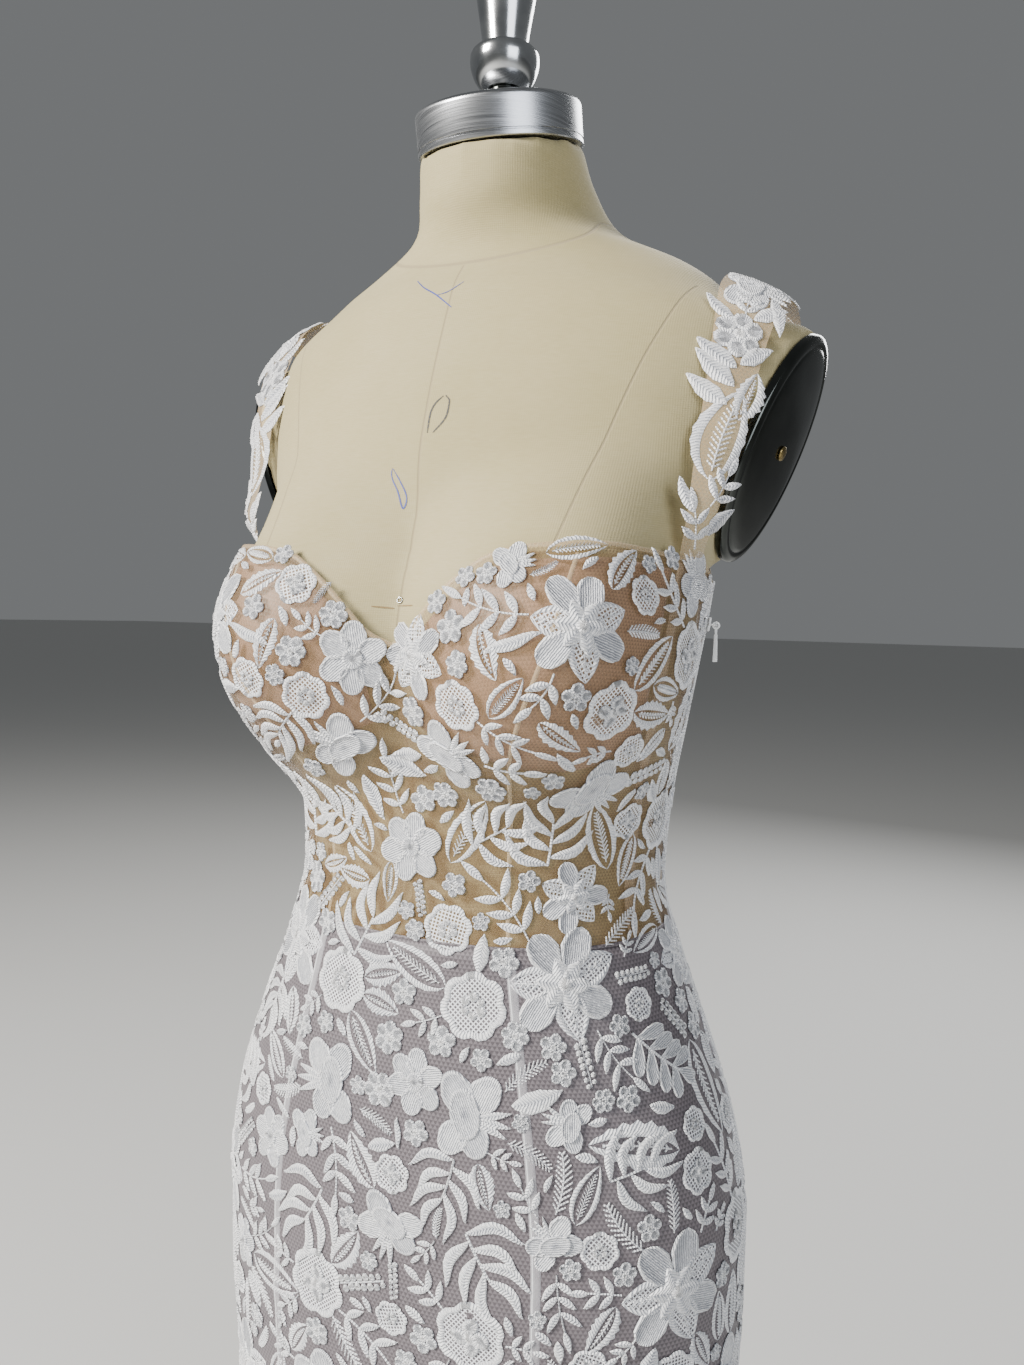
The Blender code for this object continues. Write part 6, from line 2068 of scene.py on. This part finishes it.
class LaceCover:
    """The lace motifs of the dress and a map of the cloth they cover. A placed motif is its kind,
    variant, share of the way round, level, size in millimetres, turn and if it is flipped."""

    def __init__(self, library, girth, seed):
        self.library, self.girth = library, girth
        self.rng = np.random.default_rng(seed)
        self.placed = []
        self.levels = HEM + (np.arange(MAP_ROWS) + 0.5) / MAP_ROWS * (MAP_TOP - HEM)
        shares = (np.arange(MAP_COLUMNS) + 0.5) / MAP_COLUMNS
        angles = girth.angle(*np.meshgrid(shares, self.levels))
        edge = top_edge(np.abs((np.degrees(angles) + 180) % 360 - 180))[..., 0]
        self.covered = self.levels[:, None] > edge + EDGE_REACH
        self.cell_width = np.interp(self.levels, girth.levels, girth.girth) / MAP_COLUMNS
        self.cell_height = (MAP_TOP - HEM) / MAP_ROWS

    def cells(self, share, level):
        """Rows and columns of the map at some spots."""
        row = ((level - HEM) / (MAP_TOP - HEM) * MAP_ROWS).astype(int)
        return row, (share * MAP_COLUMNS).astype(int) % MAP_COLUMNS

    def outline(self, kind, variant, share, level, size, turn, flip):
        """The spots that a motif's points take."""
        motif = self.library[kind][variant]
        return self.girth.laid(placed_flat(motif, size / motif.size, turn, flip), share, level)

    def cover(self, share, level, gap):
        """Marks the cloth within a gap (metres) of some points."""
        row, column = self.cells(share, level)
        inside = (row >= 0) & (row < MAP_ROWS)
        row, column = row[inside], column[inside]
        if not len(row):
            return
        high = int(gap / self.cell_height) + 1
        for down in range(-high, high + 1):
            reach = math.sqrt(max(0.0, gap**2 - (down * self.cell_height) ** 2))
            wide = int(reach / self.cell_width[int(np.median(row))])
            rows = np.clip(row + down, 0, MAP_ROWS - 1)
            for across in range(-wide, wide + 1):
                self.covered[rows, (column + across) % MAP_COLUMNS] = True

    def place(self, kind, share, level, size, turn, flip=False):
        """Places a motif whatever it covers."""
        variant = int(self.rng.integers(len(self.library[kind])))
        self.placed.append((kind, variant, share, level, size, turn, flip))
        self.cover(*self.outline(*self.placed[-1]), LARGE_GAP)

    def try_place(self, kind, share, level, size, turn, overlap=OVERLAP):
        """Places a motif if the cloth under it is free, and says whether it was."""
        variant = int(self.rng.integers(len(self.library[kind])))
        motif = (kind, variant, share, level, size, turn, bool(self.rng.integers(2)))
        shares, levels = self.outline(*motif)
        row, column = self.cells(shares, levels)
        taken = self.covered[np.clip(row, 0, MAP_ROWS - 1), column] | (row < HEM_CELLS)
        if taken.mean() > overlap:
            return False
        self.placed.append(motif)
        self.cover(shares, levels, SMALL_GAP)
        return True

    def beyond(self, share, level, aim, out):
        """The spot a number of millimetres from another, along a heading in degrees."""
        return self.girth.laid(toward(math.radians(aim)) * out * MM, share, level)

    def thick_lace(self):
        """The large motifs in mirrored pairs, then leaves round each of their flowers."""
        flowers = []
        for kind, azimuth, level, reach, turn in THICK_LACE:
            for hand in (1, -1):
                share = float(self.girth.share(math.radians(azimuth * hand), level))
                size = reach / MM * FLOWER_SHARE.get(kind, 1.0)
                self.place(kind, share, level, size, turn * hand, flip=hand < 0)
                if kind in FLOWER_SHARE:
                    flowers.append((share, level, size))
        for flower in flowers:
            self.leaves_round(*flower)

    def hem_edge(self):
        """Leaves end to end along the hem."""
        for i in range(HEM_LEAVES):
            turn = 90 + (HEM_LEAF_SLOPE if i % 2 else -HEM_LEAF_SLOPE)
            self.place("leaf", i / HEM_LEAVES, HEM + HEM_LEAF_RISE, HEM_LEAF_LENGTH, turn)

    def room(self, steps):
        """How many map cells away the nearest lace is, up to a number."""
        free = ~self.covered
        room = free.astype(np.int8)
        for _ in range(steps - 1):
            near = free[1:-1] & free[2:] & free[:-2]
            free = np.zeros_like(free)
            free[1:-1] = near & np.roll(near, 1, 1) & np.roll(near, -1, 1)
            room += free
        return room

    def leaves_round(self, share, level, radius):
        """Leaves, berries and small flowers that spread from a flower."""
        start = self.rng.uniform(0, 360)
        for i in range(LEAVES_ROUND):
            aim = start + i * 360 / LEAVES_ROUND + self.rng.uniform(-14, 14)
            other = AROUND[int(self.rng.integers(len(AROUND)))]
            length = self.rng.uniform(*AROUND_SIZES[other]) * hem_growth(level)
            out = radius * 0.96 + (length if other == "ring_flower" else 0.0)
            self.try_place(other, *self.beyond(share, level, aim, out), length, aim, SPRAY_OVERLAP)

    def fill(self, room, kinds, count):
        """Motifs in the free spots that are at least so many millimetres from the lace around."""
        steps = np.maximum(1, room * hem_growth(self.levels) * MM / self.cell_height).astype(int)
        rows, columns = np.nonzero(self.room(steps.max()) >= steps[:, None])
        if not len(rows):
            return
        weight = self.cell_width[rows]
        for pick in self.rng.choice(len(rows), min(count, len(rows)), replace=False, p=weight / weight.sum()):
            share = (columns[pick] + 0.5) / MAP_COLUMNS
            level = self.levels[rows[pick]]
            kind = kinds[int(self.rng.integers(len(kinds)))]
            size = ROOM_SIZES[kind] * room * hem_growth(level) * self.rng.uniform(0.85, 1.15)
            turn = self.rng.uniform(-180, 180)
            spot = (share, level) if kind in ROUND_KINDS else self.beyond(share, level, turn, -size / 2)
            if self.try_place(kind, *spot, size, turn) and kind in FLOWER_SHARE and room > SPRAY_ROOM:
                self.leaves_round(share, level, size)


# How the cloth is filled. Columns: room in millimetres, kinds, number of tries.
FILLINGS = (
    (19, ("star_blossom", "side_blossom", "blossom", "side_blossom"), 500),
    (16, ("star_blossom", "side_blossom", "blossom", "net_rose"), 700),
    (13, ("frond", "loop_leaf", "side_blossom", "rose"), 900),
    (11, ("frond", "branch", "vein_leaf", "net_rose"), 1200),
    (9, ("jagged_leaf", "branch", "vein_leaf", "ring_flower"), 1500),
    (7.5, ("twig", "jagged_leaf", "berries", "ring_flower"), 2200),
    (6, ("leaf", "twig", "berries", "fern", "ring_flower"), 3500),
    (4.5, ("leaf", "band_leaf", "berries", "fern"), 5000),
    (3.4, ("leaf", "leaf", "fern"), 7000),
)


def lace_layout(library, girth):
    """All the motifs of the dress: the large ones, then ever smaller ones in the room between."""
    cover = LaceCover(library, girth, seed=7)
    cover.thick_lace()
    cover.hem_edge()
    for filling_step in FILLINGS:
        cover.fill(*filling_step)
    return cover.placed


LACE_LIFT = 0.00012  # of the lace over the cloth


def stitched(name, library, placed, lay, finishes):
    """One piece of lace from placed motifs. lay gives a motif's points on the cloth from its flat
    points in metres, its heights in metres and its place."""
    flats, heights, quads, marks, opened, anchors = [], [], [], [], [], []
    count = 0
    for kind, variant, first, second, size, turn, flip in placed:
        motif = library[kind][variant]
        scale = size / motif.size
        flats.append(placed_flat(motif, scale, turn, flip))
        heights.append(motif.points[:, 2])
        quads.append((motif.quads[:, ::-1] if flip else motif.quads) + count)
        in_filling = np.isin(np.arange(motif.count), motif.quads[motif.open])
        marks.append(motif.marks * np.where(in_filling[:, None], scale * MM, (scale * MM, 1.0)))
        opened.append(motif.open)
        anchors.append(np.full((motif.count, 2), (first, second)))
        count += motif.count
    points = lay(np.vstack(flats), np.concatenate(heights) * MM + LACE_LIFT, np.vstack(anchors))
    piece = new_piece(name, points, np.vstack(quads), finishes, uv=np.vstack(marks))
    piece.data.polygons.foreach_set("material_index", np.concatenate(opened).astype(np.int32))
    return piece


def lay_on_dress(girth):
    """A function that puts flat motifs on the dress."""

    def lay(flat, heights, anchors):
        share, level = girth.laid(flat, anchors[:, 0], anchors[:, 1])
        normals = girth.read(girth.normals, share % 1, level)
        normals /= np.linalg.norm(normals, axis=-1, keepdims=True)
        out = heights + creases(girth.angle(share, level), level)
        return girth.read(girth.points, share % 1, level) + normals * out[:, None]

    return lay


def panel_of(angle, level):
    """The panel a spot on the dress belongs to."""
    azimuth = (math.degrees(angle) + 180) % 360 - 180
    panels = BODICE_PANELS if level > WAIST_SEAM else SKIRT_PANELS
    for name, left, right, _ in panels:
        if float(left(level)) <= azimuth <= float(right(level)):
            return name
    return panels[0][0]


# Lace along the wearer's left strap, front to back. Columns: kind, share along, share across, size
# (mm), turn (degrees from the strap's run).
STRAP_LACE = (
    ("twig", 0.012, 0.40, 36, -14),
    ("leaf", 0.035, 0.74, 26, 36),
    ("leaf", 0.062, 0.20, 20, -28),
    ("twig", 0.075, 0.60, 32, 20),
    ("vein_leaf", 0.110, 0.42, 58, 6),
    ("jagged_leaf", 0.205, 0.76, 32, 10),
    ("leaf", 0.222, 0.44, 26, -60),
    ("leaf", 0.250, 0.52, 28, -52),
    ("leaf", 0.278, 0.50, 26, -62),
    ("leaf", 0.285, 0.56, 24, 44),
    ("ring_flower", 0.330, 0.44, 15, 0),
    ("leaf", 0.352, 0.30, 22, -48),
    ("leaf", 0.362, 0.62, 24, 46),
    ("twig", 0.360, 0.48, 28, 2),
    ("side_blossom", 0.430, 0.44, 24, 30),
    ("leaf", 0.415, 0.78, 28, 148),
    ("leaf", 0.470, 0.70, 24, 34),
    ("leaf", 0.480, 0.20, 22, -24),
    ("berries", 0.500, 0.44, 26, 4),
    ("rose", 0.590, 0.58, 13, 0),
    ("leaf", 0.600, 0.22, 20, -30),
    ("leaf", 0.615, 0.80, 18, 30),
    ("vein_leaf", 0.630, 0.50, 48, -4),
    ("ring_flower", 0.790, 0.42, 12, 0),
    ("leaf", 0.765, 0.80, 20, 28),
    ("leaf", 0.822, 0.60, 24, 14),
    ("twig", 0.835, 0.30, 28, -10),
    ("ring_flower", 0.930, 0.60, 11, 0),
    ("leaf", 0.940, 0.28, 20, -16),
    ("leaf", 0.960, 0.60, 16, 8),
)


STRAP_STEP = 0.01  # share of the strap over which its run is measured
STRAP_HANG = 0.006  # how much lace hangs down past the strap's edges


def lay_on_strap(flat, heights, anchors):
    """Puts flat motifs on the wearer's left strap. They hang a little past its edges and run straight
    on past its ends."""
    along, across = anchors.T
    ahead, back = np.clip(along + STRAP_STEP, 0, 1), np.clip(along - STRAP_STEP, 0, 1)
    run = np.linalg.norm(strap(ahead, across) - strap(back, across), axis=-1) / (ahead - back)
    width = np.linalg.norm(strap(along, 1.0) - strap(along, 0.0), axis=-1)
    s = along + flat[:, 1] / run
    t = across + flat[:, 0] / width
    hang = np.clip(np.abs(t - 0.5) - 0.5, 0, 1) ** 2 * STRAP_HANG
    before, after = np.minimum(s, 0)[:, None], np.maximum(s - 1, 0)[:, None]
    first = (strap(STRAP_STEP, 0.5) - strap(0.0, 0.5)) / STRAP_STEP
    last = (strap(1.0, 0.5) - strap(1 - STRAP_STEP, 0.5)) / STRAP_STEP
    return strap(np.clip(s, 0, 1), t, heights - hang) + before * first + after * last


# ---------------------------------------------------------------- the add-on
def length_property(name, description, default):
    return bpy.props.FloatProperty(name=name, description=description, default=default, unit="LENGTH")


def colour_property(name, description, tone):
    return bpy.props.FloatVectorProperty(
        name=name, description=description, default=linear(tone), subtype="COLOR", size=4, min=0, max=1
    )


class DressSizes(bpy.types.PropertyGroup):
    """Sizes and colours of the dress's cloth"""

    net_step: length_property("Net grid", "Distance between the net's points", 0.0045)
    skirt_wall: length_property("Skirt lining", "Thickness of the skirt's lining", 0.0010)
    seam_width: length_property("Seam strip", "Width of a bound seam on the skirt", 0.0052)
    lace_colour: colour_property("Lace", "Colour of the embroidery thread", LACE_WHITE)
    net_colour: colour_property("Net", "Colour of the bodice's tulle", NET_NUDE_AND_SHADE)
    lining_colour: colour_property("Lining", "Colour of the skirt's lining", LINING_GREY)
    linen_colour: colour_property("Linen", "Colour of the dress form's cover", LINEN_ECRU)


class DRESS_OT_form(bpy.types.Operator):
    """Build the linen dress form with its steel fittings and stand"""

    bl_idname = "dress.form"
    bl_label = "Dress form"

    def execute(self, context):
        cover = form_cover(linen(context.scene.dress_sizes.linen_colour))
        slot_and_replace(cover, "linen", "form_body")
        steel, polished, dark = brushed_steel(), polished_steel(), dark_plate()
        inks = {"blue": pen_ink("blue pen ink", "#3C4A9A"), "black": pen_ink("black pen ink", "#2B2A2A")}
        inks["thread"] = pen_ink("brown basting thread", "#8A7248")
        linen_marks(cover, inks, polished)
        neck_hardware(steel, dark, polished)
        arm_plates(dark, aged_brass())
        stand(steel)
        return {"FINISHED"}


class DRESS_OT_cloth(bpy.types.Operator):
    """Build the net bodice, the cups, the straps and the lined skirt"""

    bl_idname = "dress.cloth"
    bl_label = "Cloth"

    def execute(self, context):
        sizes = context.scene.dress_sizes
        net, double_net = nude_net(sizes.net_colour), strap_net()
        lining = skirt_lining(sizes.lining_colour)
        for name, left, right, _ in BODICE_PANELS:
            piece = panel(name + "_net", left, right, waistline, neckline, net, sizes.net_step)
            slot_and_replace(piece, "nude_net", name)
        for name, left, right, _ in SKIRT_PANELS:
            piece = panel(
                name + "_lining", left, right, hemline, waistline, lining, SKIRT_STEP, sizes.skirt_wall
            )
            slot_and_replace(piece, "lace_skirt", name)
        build_cups(cup_lining())
        build_straps(double_net)
        binding, enamel = seam_binding(), enamelled_zinc()
        bodice_seams(bone_channel(), lining, double_net)
        skirt_seams(binding, enamel, sizes.seam_width)
        zip_tape(binding, enamel)
        place = zip_frame()
        zip_slider(place, enamel)
        zip_pull(place, enamel)
        return {"FINISHED"}


class DRESS_OT_lace(bpy.types.Operator):
    """Lay the corded lace over every panel of the dress"""

    bl_idname = "dress.lace"
    bl_label = "Lace"

    def execute(self, context):
        library = motif_library()
        finishes = [lace_thread(context.scene.dress_sizes.lace_colour), lace_filling()]
        girth, by_panel = Girth(), {}
        for motif in lace_layout(library, girth):
            share, level = motif[2:4]
            by_panel.setdefault(panel_of(float(girth.angle(share, level)), level), []).append(motif)
        for name, placed in by_panel.items():
            piece = stitched(name + "_lace", library, placed, lay_on_dress(girth), finishes)
            sewn(name, piece)
        rng = np.random.default_rng(3)
        placed = [
            (kind, int(rng.integers(len(library[kind]))), along, across, size, turn, False)
            for kind, along, across, size, turn in STRAP_LACE
        ]
        left = stitched("strap_lace_left", library, placed, lay_on_strap, finishes)
        sewn("strap_left", left)
        sewn("strap_right", mirror_piece(left, "strap_lace_right"))
        return {"FINISHED"}


class DRESS_OT_cuts(bpy.types.Operator):
    """A step that does nothing: the cuts of the sheets and what is sewn on them are not recorded"""

    bl_idname = "dress.cuts"
    bl_label = "Cuts"

    def execute(self, context):
        return {"FINISHED"}


def build_pair(left, name, slot_name, node):
    """Puts the wearer's left piece and its mirror image in place of their nodes."""
    for piece, side in ((left, "left"), (mirror_piece(left, name + "right"), "right")):
        slot_and_replace(piece, slot_name, node + side)


def build_cups(finish):
    """The opaque cups that show through the net."""
    lowest, half_span, rise = CUP_ARCH
    rows, columns = CUP_GRID
    share, azimuth = np.meshgrid(np.linspace(0, 1, rows), np.linspace(*CUP_SIDES, columns), indexing="ij")
    high = top_edge(azimuth)[..., 0] - CUP_TOP_GAP
    low = CUP_FOOT + rise * (np.abs(azimuth - lowest) / half_span) ** 2
    points = cloth(np.radians(azimuth), low + share * (high - low), -CUP_DEPTH)
    left = walled(grid_piece("cup_cloth_left", points, finish), CUP_WALL)
    build_pair(left, "cup_cloth_", "cup_cloth", "cup_")


def build_straps(finish):
    """The wide sheer shoulder straps."""
    rows, columns = STRAP_GRID
    along, across = np.meshgrid(np.linspace(0, 1, rows), np.linspace(0, 1, columns), indexing="ij")
    left = grid_piece("strap_net_left", strap(along, across), finish)
    build_pair(left, "strap_net_", "nude_net", "strap_")


class DRESS_OT_studio(bpy.types.Operator):
    """Set the floor, the light and the camera"""

    bl_idname = "dress.studio"
    bl_label = "Studio"

    def execute(self, context):
        studio()
        camera()
        return {"FINISHED"}


class DRESS_PT_panel(bpy.types.Panel):
    """The dress's sizes and its build steps"""

    bl_label = "Wedding dress"
    bl_idname = "DRESS_PT_panel"
    bl_space_type = "VIEW_3D"
    bl_region_type = "UI"
    bl_category = "Dress"

    def draw(self, context):
        for name in DressSizes.__annotations__:
            self.layout.prop(context.scene.dress_sizes, name)
        for step in STEPS:
            self.layout.operator(step.bl_idname)


STEPS = (DRESS_OT_form, DRESS_OT_cloth, DRESS_OT_lace, DRESS_OT_cuts, DRESS_OT_studio)
CLASSES = (DressSizes, *STEPS, DRESS_PT_panel)


def register():
    for one in CLASSES:
        bpy.utils.register_class(one)
    bpy.types.Scene.dress_sizes = bpy.props.PointerProperty(type=DressSizes)


def unregister():
    del bpy.types.Scene.dress_sizes
    for one in reversed(CLASSES):
        bpy.utils.unregister_class(one)


def main():
    register()
    for step in STEPS:
        area, name = step.bl_idname.split(".")
        getattr(getattr(bpy.ops, area), name)()


if __name__ == "__main__":
    main()
